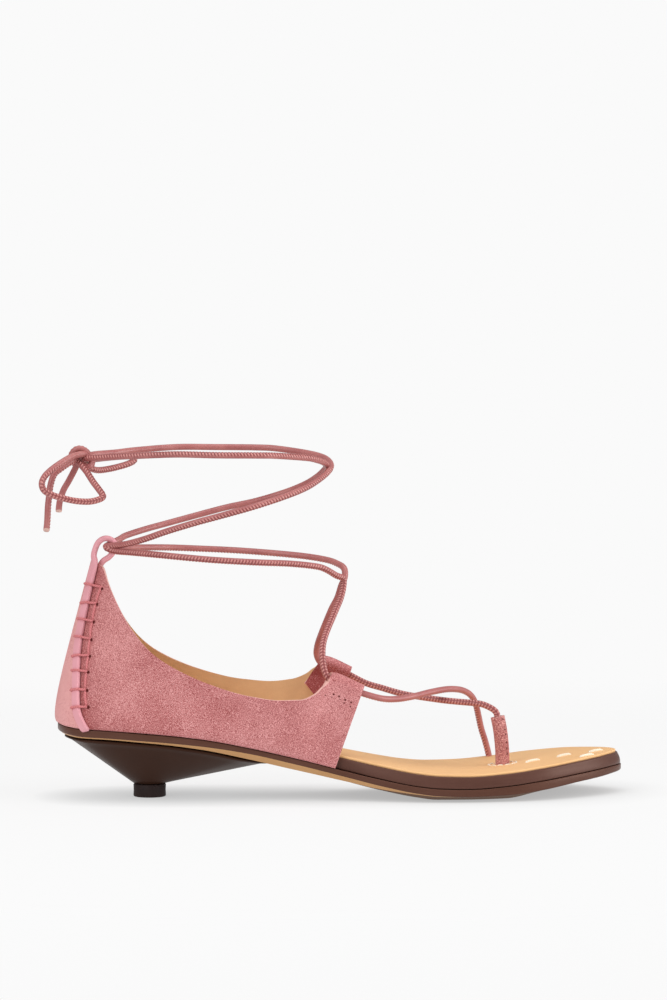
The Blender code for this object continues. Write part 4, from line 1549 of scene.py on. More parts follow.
@dataclass
class Sole:
    """Outsole, platform and insole."""

    tread_inset: float = 12.0 * MM
    bevel_inset: float = 1.6 * MM
    edge_round: float = 0.35 * MM
    foot_round: float = 0.6 * MM
    platform_round: float = 0.7 * MM
    side_steps: int = 5

    def outsole(self) -> Object:
        """Builds the outsole: painted edge, bare bevel and a tread darkened with painted shade.

        Returns:
            The piece.
        """
        bare, paint, tread = 0, 1, 2
        rings = [
            SOLE.ring(lambda x: self.tread_inset, lambda x: SOLE.height("tread", x)),
            SOLE.ring(lambda x: self.bevel_inset, lambda x: SOLE.height("bevel", x)),
        ]
        rings += SOLE.rounded(lambda x: 0.0, lambda x: SOLE.height("edge", x), self.foot_round, top=False)
        rings += SOLE.rounded(lambda x: 0.0, rim_height, self.edge_round)
        draft = Draft()
        draft.stack(rings, [tread, bare] + [paint] * (2 * SOLE.round_steps + 1))
        finishes = [BARE_LEATHER, SOLE_PAINT, TREAD_SHADE]
        return draft.piece("leather_outsole", finishes, Slot.SOLE_EDGE, "outsole")

    def platform_side(self, share: float) -> list[Vector]:
        """A ring on the platform's side, which bows out.

        Args:
            share: Its height, from 0 at the foot to 1 at the top.

        Returns:
            The ring's points.
        """
        rise = self.edge_round + (MIDSOLE_THICKNESS - self.edge_round - self.platform_round) * share
        foot, top = INSET["midsole_foot"], INSET["midsole_top"]
        return SOLE.ring(
            lambda x: foot(x) + (top(x) - foot(x)) * share**2,
            lambda x: rim_height(x) + GAP + rise,
        )

    def platform(self) -> Object:
        """Builds the platform between outsole and insole.

        Returns:
            The piece.
        """
        foot = SOLE.rounded(INSET["midsole_foot"], lambda x: rim_height(x) + GAP, self.edge_round, top=False)
        side = [self.platform_side(i / self.side_steps) for i in range(1, self.side_steps)]
        top = SOLE.rounded(INSET["midsole_top"], midsole_height, self.platform_round)
        draft = Draft()
        draft.stack(foot + side + top)
        return draft.piece("platform", [PLATFORM_PAINT], Slot.PLATFORM, "midsole")

    def insole(self) -> Object:
        """Builds the insole.

        Returns:
            The piece.
        """
        foot = SOLE.ring(INSET["insole"], midsole_height)
        draft = Draft()
        draft.stack([foot] + SOLE.rounded(INSET["insole"], insole_height, self.edge_round))
        return draft.piece("insole_sock", [INSOLE_LEATHER], Slot.SOCK, "insole")

    def build(self) -> None:
        """Builds the three layers."""
        self.outsole()
        self.platform()
        self.insole()


@dataclass
class Heel:
    """The low wedge heel and its top piece."""

    tip_x: float = 42.1 * MM
    tip_radius: float = 7.2 * MM
    tip_height: float = 5.7 * MM
    tip_bevel: float = 0.5 * MM
    tip_knee: tuple[float, float] = (0.3, 0.4)
    tip_waist: float = 0.25
    tip_sides: int = 64
    seat_round: float = 0.7 * MM
    levels: int = 12

    def block(self) -> Object:
        """Builds the block: straight lines from the seat's outline down to the round top piece.

        Returns:
            The piece.
        """
        seat = SEAT.ring(lambda x: 0.0, seat_height)
        centre = Vector((self.tip_x, 0.0, self.tip_height + GAP))
        foot = []
        for point in seat:
            spoke = Vector((point.x - centre.x, point.y, 0.0)).normalized()
            foot.append(centre + spoke * self.tip_radius)
        rings = []
        for i in range(self.levels):
            rings.append([low.lerp(high, i / self.levels) for low, high in zip(foot, seat)])
        rings += SEAT.rounded(lambda x: 0.0, seat_height, self.seat_round)
        draft = Draft()
        draft.stack(rings)
        return draft.piece("heel_block", [HEEL_LACQUER], Slot.HEEL, "heel")

    def top_piece(self) -> Object:
        """Builds the rubber top piece, slightly waisted, with worn edges.

        Returns:
            The piece.
        """
        bevel, top = self.tip_bevel, self.tip_height
        knee, knee_inset = (share * bevel for share in self.tip_knee)
        profile = (
            (0.0, -bevel), (knee, -knee_inset), (bevel, 0.0), (0.5 * top, -self.tip_waist * bevel),
            (top - bevel, 0.0), (top - knee, -knee_inset), (top, -bevel),
        )
        rings = []
        for height, inset in profile:
            reach = self.tip_radius + inset
            spokes = circle(self.tip_sides)
            rings.append([Vector((self.tip_x + reach * x, reach * y, height)) for x, y in spokes])
        draft = Draft()
        draft.loft(rings, [0] * (len(rings) - 1))
        draft.add(rings[0], [tuple(reversed(range(self.tip_sides)))])
        draft.add(rings[-1], [tuple(range(self.tip_sides))])
        return draft.piece("top_piece", [TIP_RUBBER], Slot.HEEL_TIP, "heel_tip")

    def build(self) -> None:
        """Builds the block and the top piece."""
        self.block()
        self.top_piece()


@dataclass(frozen=True)
class Crease:
    """A soft trough in the suede on either side, between two points of the wall given by place and height."""

    start: tuple[float, float]
    stop: tuple[float, float]
    depth: float
    width: float

    def ends(self, side: Side) -> list[np.ndarray]:
        """Its two ends on a side of the shoe."""
        return [np.array(UPPER.point(side.value * spot, up)) for spot, up in (self.start, self.stop)]


@dataclass
class SuedeUpper:
    """The suede shell with its lining, and the painted shade of its tabs' needle holes."""

    columns_per_row: int = 12
    rows: int = 66
    row_spread: float = 1.15
    edge_round: float = 0.3 * MM
    dent: float = 0.5 * MM
    dent_width: float = 1.5 * MM
    edge_segments: int = 2
    edge_angle: float = math.radians(60.0)
    # Tones on the nap's ramp: painted shade down each tab's fold and flap, painted light behind the back
    # seam, and painted shade beside the seam and in a wider band ahead of it.
    flap_painted_shade: float = -0.12
    flap_span: tuple[float, float] = (0.7, 1.2)
    back_painted_light: float = 0.42
    back_reach: float = 3.0
    seam_painted_shade: float = 0.17
    seam_reach: float = 0.6
    front_painted_shade: float = 0.06
    front_reach: float = 2.5
    creases: tuple[Crease, ...] = (
        Crease((10.7, 0.86), (9.3, 0.35), 0.45 * MM, 5.0 * MM),
        Crease((8.3, 0.95), (7.4, 0.30), 0.30 * MM, 6.0 * MM),
        Crease((4.6, 0.55), (3.2, 0.10), 0.35 * MM, 8.0 * MM),
    )
    crease_ends: tuple[float, float] = (0.02, 0.98)
    crease_ease: float = 0.7
    # Place, height and radius in millimetres of each needle hole.
    tab_holes: Table = (
        (10.55, 0.84, 0.30), (11.20, 0.85, 0.42), (11.40, 0.85, 0.45), (11.60, 0.84, 0.45),
        (11.78, 0.84, 0.42), (11.15, 0.81, 0.24), (11.45, 0.82, 0.24), (11.60, 0.80, 0.32),
        (11.80, 0.79, 0.32),
    )

    def creased(self, points: np.ndarray, normals: np.ndarray) -> np.ndarray:
        """Points moved in where a crease runs.

        Args:
            points: Points on the wall, one a row.
            normals: The wall's normals there.

        Returns:
            The moved points.
        """
        for crease, side in product(self.creases, Side):
            start, stop = crease.ends(side)
            run = stop - start
            share = np.clip((points - start) @ run / (run @ run), 0.0, 1.0)
            away = np.linalg.norm(points - start - share[:, None] * run, axis=1)
            fade = np.sin(math.pi * np.clip(share, *self.crease_ends)) ** self.crease_ease
            points = points - normals * (crease.depth * fade * np.exp(-((away / crease.width) ** 2)))[:, None]
        for _, hole, up in WHIP_STITCHES:
            away = np.linalg.norm(points - np.array(UPPER.point(hole, up)), axis=1)
            points = points - normals * (self.dent * np.exp(-((away / self.dent_width) ** 2)))[:, None]
        return points

    def at(self, spot: float, up: float, lift: float = 0.0) -> Vector:
        """A point on the creased suede, or over it.

        Args:
            spot: Its place on the wall.
            up: Its height on the wall.
            lift: How far it stands off the suede.

        Returns:
            The point.
        """
        outward = UPPER.tangents(spot, up)[2]
        moved = self.creased(np.array([UPPER.point(spot, up)]), np.array([outward]))[0]
        return Vector(moved) + outward * lift

    def lay(self, spot: float, up: float) -> float:
        """The suede's tone, with its painted light and shade.

        Args:
            spot: A place on the wall.
            up: A height on the wall.

        Returns:
            More than even behind the back seam, as painted light; less beside the seam and in a wider band
            ahead of it, as painted shade.
        """
        past = spot - UPPER.seam(up)
        if past > 0.0:
            return EVEN + self.back_painted_light * math.exp(-((past / self.back_reach) ** 2))
        pressed = EVEN - self.seam_painted_shade * math.exp(-((past / self.seam_reach) ** 2))
        return pressed - self.front_painted_shade * math.exp(-((past / self.front_reach) ** 2))

    def shell(self) -> Object:
        """Builds the shell: one grid for the wall, each tab's fold and flap joined on along the topline.

        Returns:
            The piece.
        """
        columns = 2 * UPPER.front * self.columns_per_row
        spots = [i / self.columns_per_row - UPPER.front for i in range(columns + 1)]
        ups = [(j / self.rows) ** self.row_spread for j in range(self.rows + 1)]
        tall = len(ups)
        wall = np.array([UPPER.point(spot, up) for spot in spots for up in ups])
        normals = np.array([UPPER.tangents(spot, up)[2] for spot in spots for up in ups])
        points = self.creased(wall, normals).tolist()
        painted_tones = [self.lay(spot, up) for spot in spots for up in ups]
        faces = []
        for i in range(columns):
            for j in range(self.rows):
                low = i * tall + j
                faces.append((low, low + 1, low + tall + 1, low + tall))
        reach = self.columns_per_row + int(UPPER.TAB_LEAD * self.columns_per_row)
        for span in (range(reach), range(columns + 1 - reach, columns + 1)):
            strips = []
            for i in span:
                on_tab = abs(i - columns // 2) >= (UPPER.front - 1) * self.columns_per_row
                row = UPPER.tab_row(spots[i]) if on_tab else UPPER.lead_row(spots[i])
                first = len(points)
                points += [tuple(point) for point in row]
                folded = np.arange(len(row)) / UPPER.ROLL_STEPS
                # Painted shade: the tone falls from even late on the fold to the flap's shade partway down
                # the flap.
                painted_tones += np.interp(folded, self.flap_span, (EVEN, self.flap_painted_shade)).tolist()
                strips.append([i * tall + self.rows, *range(first, first + len(row))])
            for left, right in zip(strips, strips[1:]):
                for j in range(min(len(left), len(right)) - 1):
                    faces.append((left[j], left[j + 1], right[j + 1], right[j]))
        draft = Draft()
        draft.add(points, faces, ridges=painted_tones)
        obj = draft.build("suede_upper", [SUEDE, LINING, CUT_EDGE])
        shell = obj.modifiers.new("wall", "SOLIDIFY")
        shell.thickness = WALL
        shell.offset = -1.0
        shell.use_quality_normals = True
        shell.material_offset = 1
        shell.material_offset_rim = 2
        rounding = obj.modifiers.new("cut edge", "BEVEL")
        rounding.width = self.edge_round
        rounding.segments = self.edge_segments
        rounding.limit_method = "ANGLE"
        rounding.angle_limit = self.edge_angle
        return place(obj, Slot.SUEDE, "upper")

    def holes(self) -> Object:
        """Builds dark discs of painted shade at the needle holes that close each tab's fold.

        Returns:
            The piece.
        """
        draft = Draft()
        for side, (along, up, radius) in product(Side, self.tab_holes):
            spot = side.value * along
            paint_hole_shade(draft, self.at(spot, up), UPPER.tangents(spot, up)[2], radius * MM)
        return draft.piece("tab_needle_hole_shade", [HOLE_SHADE], Slot.SUEDE)

    def build(self) -> None:
        """Builds the shell and the painted shade of its needle holes."""
        self.shell()
        self.holes()


@dataclass
class BackSeam:
    """Piping down the back seam, its loop, and the whip stitches over it."""

    suede: SuedeUpper
    half_width: float = 1.95 * MM
    half_depth: float = 1.0 * MM
    squareness: float = 5.0
    loop_radius: float = 1.3 * MM
    taper: float = 7.0 * MM
    step: float = 0.35 * MM
    sides: int = 28
    steps: int = 24
    spread: float = 1.4
    tucked_below: float = 0.07
    tucked_share: float = 0.3
    thread_radius: float = 0.56 * MM
    # Clearance of the thread's centre beside the piping and over it, in thread radii.
    thread_clear: tuple[float, float] = (0.6, 0.5)
    # The thread's way over the piping, in shares of its reach across and out.
    over_path: Table = ((1.0, -1.2), (1.0, -0.1), (0.8, 0.86), (0.0, 0.98), (-0.8, 0.86), (-1.05, 0.0))
    # Its way on to its hole, as a share, and then into the hole, as heights in thread radii.
    to_hole: float = 0.55
    hole_path: tuple[float, float] = (0.6, -2.2)
    # Its way between two holes, as shares, and its height there in thread radii.
    between_path: Table = ((0.08, -0.9), (0.18, 0.4), (0.5, 0.6), (0.82, 0.4), (0.92, -0.9))
    hole_radius: float = 0.72 * MM
    hole_lift: float = 0.3 * MM
    hole_past: float = 0.1
    pinch: float = 0.12
    pinch_width: float = 1.0 * MM

    def centre(self, up: float) -> Vector:
        """Centre of the piping at a height, tucked in where it meets the sole."""
        risen = self.tucked_share + (1.0 - self.tucked_share) * min(up / self.tucked_below, 1.0)
        return UPPER.lifted(UPPER.seam(up), up, self.half_depth * risen)

    def route(self) -> list[Vector]:
        """Centre of the piping from the sole up to the tip of the counter."""
        return [self.centre((i / self.steps) ** self.spread) for i in range(self.steps + 1)]

    def piping(self) -> Object:
        """Builds the piping and its loop, pinched where a stitch crosses it.

        Returns:
            The piece.
        """
        seam = self.route()
        seam_length = line_length(np.array(seam))
        line = smooth_line(seam + scaled(LOOP_ROUTE), self.step)
        cord = Cord(line, self.loop_radius, UPPER.tangents(UPPER.seam(0.0), 0.0)[2], sides=self.sides)
        places = cord.along()
        crossings = []
        for up, _, _ in WHIP_STITCHES:
            crossings.append(places[np.argmin(np.linalg.norm(line - np.array(self.centre(up)), axis=1))])

        def profile(along: np.ndarray, angle: np.ndarray) -> np.ndarray:
            """Radius of the piping: a flat strip with rounded edges on the seam, round in the loop.

            Args:
                along: Distances along it.
                angle: Angles round it, 0 facing out.

            Returns:
                The radii.
            """
            share = np.clip((seam_length - along) / self.taper + 0.5, 0.0, 1.0)
            pinch = sum(np.exp(-(((along - crossing) / self.pinch_width) ** 2)) for crossing in crossings)
            outward = np.abs(np.cos(angle) / self.half_depth) ** self.squareness
            across = np.abs(np.sin(angle) / self.half_width) ** self.squareness
            flat = (outward + across) ** (-1.0 / self.squareness)
            return (self.loop_radius + (flat - self.loop_radius) * share) * (1.0 - self.pinch * pinch)

        draft = Draft()
        cord.sweep(draft, profile)
        return draft.piece("back_piping", [PIPING_LEATHER], Slot.PIPING, "back_cord")

    def thread(self) -> Object:
        """Builds the whip stitches and the thread that runs between their holes.

        Returns:
            The piece.
        """
        draft = Draft()
        stitch = Stitch(self.thread_radius)
        side = self.half_width + self.thread_clear[0] * self.thread_radius
        rise = self.half_depth + self.thread_clear[1] * self.thread_radius
        for up, hole, hole_up in WHIP_STITCHES:
            outward = UPPER.tangents(UPPER.seam(up), up)[2]
            centre = self.centre(up)
            towards_back = centre - self.suede.at(hole, hole_up)
            towards_back = (towards_back - outward * towards_back.dot(outward)).normalized()
            over = []
            for across, out in self.over_path:
                over.append(centre + towards_back * side * across + outward * rise * out)
            over.append(over[-1].lerp(self.suede.at(hole, hole_up), self.to_hole))
            over += [self.suede.at(hole, hole_up, lift * self.thread_radius) for lift in self.hole_path]
            stitch.sweep(draft, over, UP)
        for (_, hole, up), (_, next_hole, next_up) in zip(WHIP_STITCHES, WHIP_STITCHES[1:]):
            run = []
            for share, lift in self.between_path:
                spot = hole + (next_hole - hole) * share
                height = up + (next_up - up) * share
                run.append(self.suede.at(spot, height, lift * self.thread_radius))
            stitch.sweep(draft, run, Vector((1.0, 0.0, 0.0)))
        return draft.piece("seam_thread", [SEAM_THREAD], Slot.PIPING)

    def holes(self) -> Object:
        """Builds dark discs of painted shade at the needle holes at the ends of the whip stitches.

        Returns:
            The piece.
        """
        draft = Draft()
        for _, hole, up in WHIP_STITCHES:
            mouth = self.suede.at(hole - self.hole_past, up, self.hole_lift)
            paint_hole_shade(draft, mouth, UPPER.tangents(hole, up)[2], self.hole_radius)
        return draft.piece("seam_needle_hole_shade", [HOLE_SHADE], Slot.SUEDE)

    def build(self) -> None:
        """Builds the piping, the thread and the painted shade of the needle holes."""
        self.piping()
        self.thread()
        self.holes()


@dataclass
class ToePost:
    """The suede sleeve between the toes, and the stitches on the insole round it and ahead of it."""

    radius: float = 3.1 * MM
    wall: float = 1.1 * MM
    depth: float = 7.0 * MM
    foot_lift: float = -0.4 * MM
    step: float = 0.5 * MM
    sides: int = 48
    flattened: float = 0.94
    seam_angle: float = math.radians(58.0)
    seam_width: float = 0.2
    seam_rise: float = 0.32 * MM
    hole_radius: float = 0.42 * MM
    hole_turn: float = 0.28
    hole_shares: tuple[float, ...] = (0.06, 0.26, 0.37, 0.53, 0.63, 0.76)
    oval: tuple[float, float] = (6.3 * MM, 5.2 * MM)
    oval_stitches: int = 12
    oval_thread: float = 0.34 * MM
    # A stitch's way along the oval, as shares of a stitch, and its height in millimetres.
    oval_path: Table = ((0.1, -0.35), (0.28, 0.12), (0.5, 0.2), (0.72, 0.12), (0.9, -0.35))
    # Middle of each long stitch ahead of the post, on the last.
    toe_stitches: Table = ((211.5, -9.0), (226.3, -3.5), (241.0, -0.4), (235.1, -13.5))
    toe_reach: tuple[float, float] = (3.1 * MM, 1.7 * MM)
    toe_thread: float = 0.75 * MM
    # A long stitch's way, as shares of its reach, and its height in millimetres.
    toe_path: Table = ((-1.05, -0.8), (-0.85, 0.0), (-0.4, 0.25), (0.4, 0.25), (0.85, 0.0), (1.05, -0.8))

    def foot(self) -> tuple[float, float]:
        """Plan place of the post's foot, in metres on the last."""
        return POST_ROUTE[0][0] * MM, POST_ROUTE[0][1] * MM

    def ring(self, cord: Cord, index: int, radius: float) -> list[Vector]:
        """Points round the sleeve, with its raised seam.

        Args:
            cord: The sleeve's line.
            index: Which point of the line.
            radius: Distance from it.

        Returns:
            The points.
        """
        faces_out, sideways = cord.frames()
        angles = np.linspace(-math.pi, math.pi, self.sides, endpoint=False)
        points = []
        for angle in angles:
            seam = math.exp(-(((angle - self.seam_angle) / self.seam_width) ** 2))
            reach = radius + self.seam_rise * seam * (radius / self.radius) ** 2
            spoke = faces_out[index] * math.cos(angle) * self.flattened + sideways[index] * math.sin(angle)
            points.append(Vector(cord.line[index] + spoke * reach))
        return points

    def sleeve(self) -> Object:
        """Builds the sleeve, open at the top where the tie goes in.

        Returns:
            The piece.
        """
        line = smooth_line([on_insole(*self.foot(), self.foot_lift), *scaled(POST_ROUTE[1:])], self.step)
        cord = Cord(line, self.radius, Vector((0.0, -1.0, 0.0)))
        count = len(line)
        outer = [self.ring(cord, i, self.radius) for i in range(count)]
        lip = [self.ring(cord, count - 1, self.radius - self.wall * share) for share in (0.5, 1.0)]
        inner_count = int(self.depth / self.step)
        inner = [self.ring(cord, count - 1 - i, self.radius - self.wall) for i in range(1, inner_count)]
        rings = outer + lip + inner
        draft = Draft()
        draft.loft(rings, [0] * (count - 1) + [1] * len(lip) + [0] * len(inner))
        draft.add(rings[-1], [tuple(range(self.sides))])
        obj = draft.build("post_sleeve", [POST_SUEDE, CUT_EDGE])
        self.holes(cord)
        return place(welded(obj), Slot.SUEDE, "toe_post")

    def holes(self, cord: Cord) -> Object:
        """Builds dark discs of painted shade at the needle holes along the sleeve's seam.

        Args:
            cord: The sleeve's line.

        Returns:
            The piece.
        """
        draft = Draft()
        faces_out, sideways = cord.frames()
        angle = self.seam_angle - self.hole_turn
        for share in self.hole_shares:
            index = int((1.0 - share) * (len(cord.line) - 1))
            outward = Vector(faces_out[index] * math.cos(angle) + sideways[index] * math.sin(angle))
            ring = self.ring(cord, index, self.radius)
            side = int((angle + math.pi) / (2.0 * math.pi) * self.sides)
            paint_hole_shade(draft, ring[side], outward.normalized(), self.hole_radius)
        return draft.piece("post_needle_hole_shade", [HOLE_SHADE], Slot.SUEDE)

    def insole_stitches(self) -> Object:
        """Builds the oval of stitches round the post and the long stitches ahead of it.

        Returns:
            The piece.
        """
        draft = Draft()
        fine = Stitch(self.oval_thread)
        foot_x, foot_y = self.foot()
        for i in range(self.oval_stitches):
            points = []
            for share, lift in self.oval_path:
                turn = 2.0 * math.pi * (i + share) / self.oval_stitches
                x = foot_x + self.oval[0] * math.cos(turn)
                y = foot_y + self.oval[1] * math.sin(turn)
                points.append(on_insole(x, y, lift * MM))
            fine.sweep(draft, points, UP)
        bold = Stitch(self.toe_thread)
        reach_x, reach_y = self.toe_reach
        for x, y in self.toe_stitches:
            points = []
            for share, lift in self.toe_path:
                points.append(on_insole(x * MM + share * reach_x, y * MM + share * reach_y, lift * MM))
            bold.sweep(draft, points, UP)
        return draft.piece("insole_stitches", [CREAM_THREAD], Slot.SOCK)

    def build(self) -> None:
        """Builds the sleeve and the stitches."""
        self.sleeve()
        self.insole_stitches()


@dataclass
class Ties:
    """The lace ties from the toe to the knot behind the ankle."""

    lace: LaceCord = field(default_factory=LaceCord)
    meet: float = 0.5
    # The way each tie's stitched face looks at its start.
    toe_lateral_face: Triple = (0.0, 0.5, -0.87)
    toe_medial_face: Triple = (0.0, -1.0, 0.3)
    wrap_faces: Route = ((0.0, -1.0, 0.2), (0.0, 1.0, 0.2))

    def tie(self, name: str, strands: Iterable[tuple[list[Vector], Triple]], *nodes: str) -> Object:
        """Builds a tie of one strand or more.

        Args:
            name: The piece's name.
            strands: Points of each strand, and the way its stitched face looks at the start.
            nodes: The solids that it replaces.

        Returns:
            The piece.
        """
        draft = Draft()
        for route, face in strands:
            self.lace.sweep(draft, route, Vector(face))
        return draft.piece(name, [TIE_LEATHER, CORE], Slot.LACE, *nodes)

    def build(self) -> None:
        """Builds the two ties at the toe, and the two that pass the back loop and close round the ankle."""
        ahead = {side: UPPER.tunnel(side, self.meet, 1.0) for side in Side}
        behind = {side: UPPER.tunnel(side, self.meet, 0.0) for side in Side}
        toe_lateral = ahead[Side.LATERAL] + scaled((*TOE_LATERAL_ROUTE, TOE_LATERAL_END))
        toe_medial = ahead[Side.MEDIAL] + scaled((*TOE_MEDIAL_ROUTE, TOE_MEDIAL_END))
        self.tie("toe_tie_lateral", [(toe_lateral, self.toe_lateral_face)], "lace_toe_lateral")
        self.tie("toe_tie_medial", [(toe_medial, self.toe_medial_face)], "lace_toe_medial")
        wraps = (
            behind[Side.LATERAL] + scaled(INSTEP_LATERAL_ROUTE[:-1] + ANKLE_INNER_ROUTE),
            behind[Side.MEDIAL] + scaled(INSTEP_MEDIAL_ROUTE[:-1] + ANKLE_OUTER_ROUTE),
        )
        self.tie("wrap_ties", zip(wraps, self.wrap_faces), "lace_instep", "lace_ankle")


@dataclass
class Bow:
    """The knot behind the ankle, its two loops and its two ends."""

    lace: LaceCord = field(default_factory=LaceCord)
    # The way a stitched face looks at its start, on each side and on the long end.
    lateral_face: Triple = (0.0, -1.0, 0.0)
    medial_face: Triple = (0.0, 1.0, 0.0)
    end_face: Triple = (0.4, 0.0, -0.9)
    loop_twist: float = math.radians(262.0)
    loop_twisted_by: float = 0.44
    end_cuts: tuple[float, float] = (0.7, 0.5)

    def knot(self) -> Object:
        """Builds the wrap of lace that holds the loops and the ends.

        Returns:
            The piece.
        """
        draft = Draft()
        self.lace.sweep(draft, scaled(KNOT_ROUTE), Vector(self.medial_face))
        return draft.piece("tied_knot", [TIE_LEATHER, TIE_LEATHER], Slot.LACE, "lace_knot")

    def strand(
        self,
        node: str,
        route: Route,
        face: Triple,
        twist: float = 0.0,
        twisted_by: float = 1.0,
        cut: float = 0.0,
    ) -> tuple[Object, np.ndarray]:
        """Builds one loop or end.

        Args:
            node: The solid that it replaces.
            route: Its points, in millimetres.
            face: The way its stitched face looks at the start.
            twist: How far that face turns.
            twisted_by: Share of the length by which it has turned.
            cut: How far its last end is cut aslant.

        Returns:
            The piece and its centre line in the part's frame.
        """
        draft = Draft()
        line = self.lace.sweep(draft, scaled(route), Vector(face), twist, twisted_by, cut)
        obj = draft.piece(node.replace("lace_", "tied_"), [TIE_LEATHER, CORE], Slot.LACE, node)
        return obj, line - np.array(LAST_ORIGIN)

    def declare(
        self, obj: Object, line: np.ndarray
    ) -> None:
        """Works out the start, the length and the points of a piece's centre line, and keeps none of them.

        Args:
            obj: The piece; not used.
            line: Its centre line.
        """
        tuple(line[0])
        line_length(line)
        [tuple(point) for point in line]

    def build(self) -> None:
        """Builds the knot, the two loops and the two ends."""
        knot = self.knot()
        turning = {"twist": self.loop_twist, "twisted_by": self.loop_twisted_by}
        loop_1, loop_line_1 = self.strand("lace_bow_1", BOW_ROUTES[0], self.medial_face, **turning)
        loop_2, loop_line_2 = self.strand("lace_bow_2", BOW_ROUTES[1], self.lateral_face)
        end_1, end_line_1 = self.strand("lace_end_1", END_ROUTES[0], self.end_face, cut=self.end_cuts[0])
        end_2, _ = self.strand("lace_end_2", END_ROUTES[1], self.medial_face, cut=self.end_cuts[1])
        self.declare(loop_2, loop_line_2)
        self.declare(loop_1, loop_line_1)
        self.declare(end_1, end_line_1)


@dataclass(frozen=True)
class SoftBox:
    """A square soft light that looks at the shoe."""

    name: str
    where: Triple
    size: float
    power: float
    aim: Triple = (0.0, 0.0, 0.06)

    def hang(self) -> None:
        """Hangs the light."""
        data = bpy.data.lights.new(self.name, "AREA")
        data.size = self.size
        data.energy = self.power
        light = bpy.data.objects.new(self.name, data)
        light.location = self.where
        light.rotation_mode = "QUATERNION"
        light.rotation_quaternion = (Vector(self.aim) - Vector(self.where)).to_track_quat("-Z", "Y")
        bpy.context.scene.collection.objects.link(light)


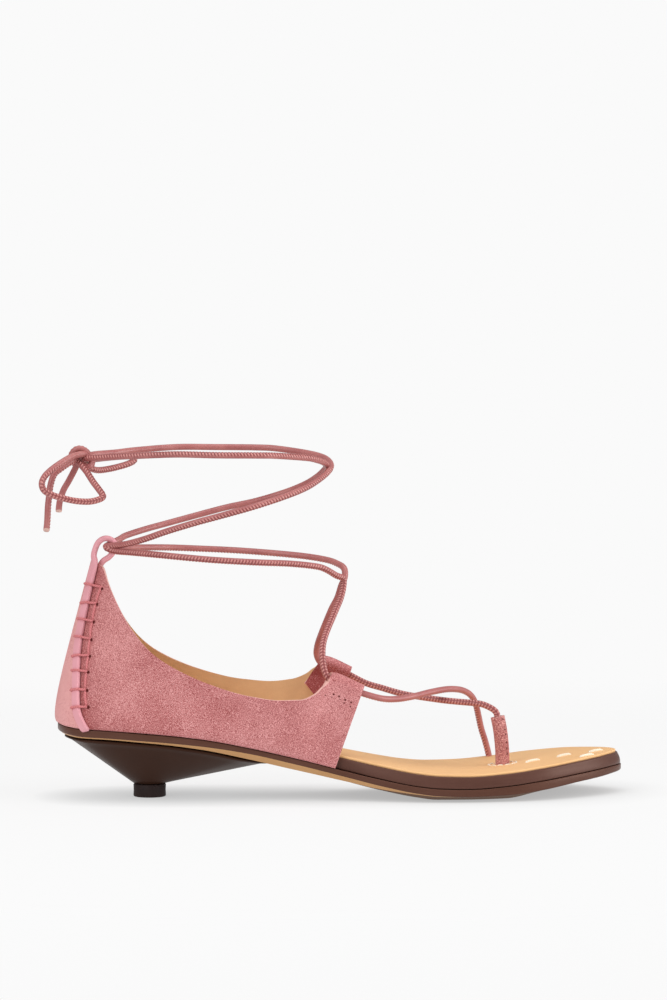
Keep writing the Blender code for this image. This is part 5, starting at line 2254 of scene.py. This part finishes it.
@dataclass
class Studio:
    """Floor, lights and camera."""

    turn: float = math.radians(5.0)
    drop: float = math.radians(2.8)
    distance: float = 1.9
    target: Triple = (-0.0028, 0.0013, 0.130705)
    pixel: float = 0.4425 * MM
    image_height: int = 1000
    sensor: float = 36.0
    backdrop: float = 0.956
    ambient: float = 0.42
    floor_white: float = 0.9
    floor_glow: float = 0.8
    # Painted contact shadow: a dark floor shade mixed in where ambient occlusion finds the shoe close.
    contact: float = 0.45
    contact_reach: float = 0.031
    contact_tone: float = 0.12
    floor_solid: float = 0.22
    floor_clear: float = 0.62
    floor_margin: float = 1.1
    floor_sides: int = 96
    lights: tuple[SoftBox, ...] = (
        SoftBox("key_left", (-0.95, -1.05, 0.75), 0.9, 9.3),
        SoftBox("fill_right", (1.3, -0.45, 0.38), 0.9, 11.5),
        SoftBox("overhead", (0.05, -0.15, 1.5), 1.3, 9.5),
    )

    def camera(self) -> None:
        """Sets the camera at the photograph's angle."""
        ahead = Vector(
            (
                math.sin(self.turn) * math.cos(self.drop),
                math.cos(self.turn) * math.cos(self.drop),
                -math.sin(self.drop),
            )
        )
        data = bpy.data.cameras.new("camera")
        data.sensor_width = self.sensor
        data.lens = self.sensor * self.distance / self.pixel / self.image_height
        camera = bpy.data.objects.new("camera", data)
        camera.location = Vector(self.target) - ahead * self.distance
        camera.rotation_mode = "QUATERNION"
        camera.rotation_quaternion = ahead.to_track_quat("-Z", "Y")
        bpy.context.scene.collection.objects.link(camera)
        bpy.context.scene.camera = camera

    def floor(self) -> None:
        """Lays a pale floor that fades out round the shoe, with a painted contact shadow from ambient
        occlusion.
        """
        shader = Shader("pale_floor")
        radius = shader.node(
            "ShaderNodeVectorMath", {"operation": "LENGTH"}, {0: shader.place}, output="Value"
        )
        fade = shader.node(
            "ShaderNodeMapRange",
            {"interpolation_type": "SMOOTHSTEP"},
            {"Value": radius, "From Min": self.floor_solid, "From Max": self.floor_clear},
        )
        lit = shader.node("ShaderNodeBsdfDiffuse", sockets={"Color": (self.floor_white,) * 3})
        glow = shader.node("ShaderNodeEmission", sockets={"Color": (self.backdrop,) * 3, "Strength": 1.0})
        pale = shader.node("ShaderNodeMixShader", sockets={0: self.floor_glow, 1: lit, 2: glow})
        # Painted contact shadow: darker where ambient occlusion finds the shoe close.
        reach = {"Distance": self.contact_reach}
        near = shader.node("ShaderNodeAmbientOcclusion", sockets=reach, output="AO")
        dark = shader.node("ShaderNodeBsdfDiffuse", sockets={"Color": (self.contact_tone,) * 3})
        shadow = (1.0 - near) * self.contact
        touched = shader.node("ShaderNodeMixShader", sockets={0: shadow, 1: pale, 2: dark})
        clear = shader.node("ShaderNodeBsdfTransparent")
        mixed = shader.node("ShaderNodeMixShader", sockets={0: fade, 1: touched, 2: clear})
        shader.node("ShaderNodeOutputMaterial", sockets={"Surface": mixed})
        mesh = bpy.data.meshes.new("floor")
        radius = self.floor_clear * self.floor_margin
        rim = [(x * radius, y * radius, 0.0) for x, y in circle(self.floor_sides)]
        mesh.from_pydata(rim, [], [tuple(range(self.floor_sides))])
        mesh.materials.append(shader.material)
        floor = bpy.data.objects.new("floor", mesh)
        bpy.context.scene.collection.objects.link(floor)

    def world(self) -> None:
        """Sets a white surround that shows brighter than it lights."""
        world = bpy.data.worlds.new("studio")
        world.use_nodes = True
        tree = world.node_tree
        background = tree.nodes["Background"]
        path = tree.nodes.new("ShaderNodeLightPath")
        strength = tree.nodes.new("ShaderNodeMapRange")
        strength.inputs["To Min"].default_value = self.ambient
        strength.inputs["To Max"].default_value = self.backdrop
        tree.links.new(path.outputs["Is Camera Ray"], strength.inputs["Value"])
        tree.links.new(strength.outputs["Result"], background.inputs["Strength"])
        background.inputs["Color"].default_value = (1.0, 1.0, 1.0, 1.0)
        bpy.context.scene.world = world

    def build(self) -> None:
        """Sets the whole studio."""
        self.camera()
        self.floor()
        self.world()
        for light in self.lights:
            light.hang()
        view = bpy.context.scene.view_settings
        view.view_transform = "Standard"
        view.look = "None"


def main() -> None:
    """Builds the shoe, piece by piece, and its studio."""
    logging.basicConfig(level=logging.INFO, format="%(name)s: %(message)s")
    upper = SuedeUpper()
    for part in (Studio(), Bow(), Ties(), Sole(), Heel(), upper, BackSeam(upper), ToePost()):
        LOG.info("building %s", type(part).__name__)
        part.build()


if __name__ == "__main__":
    main()
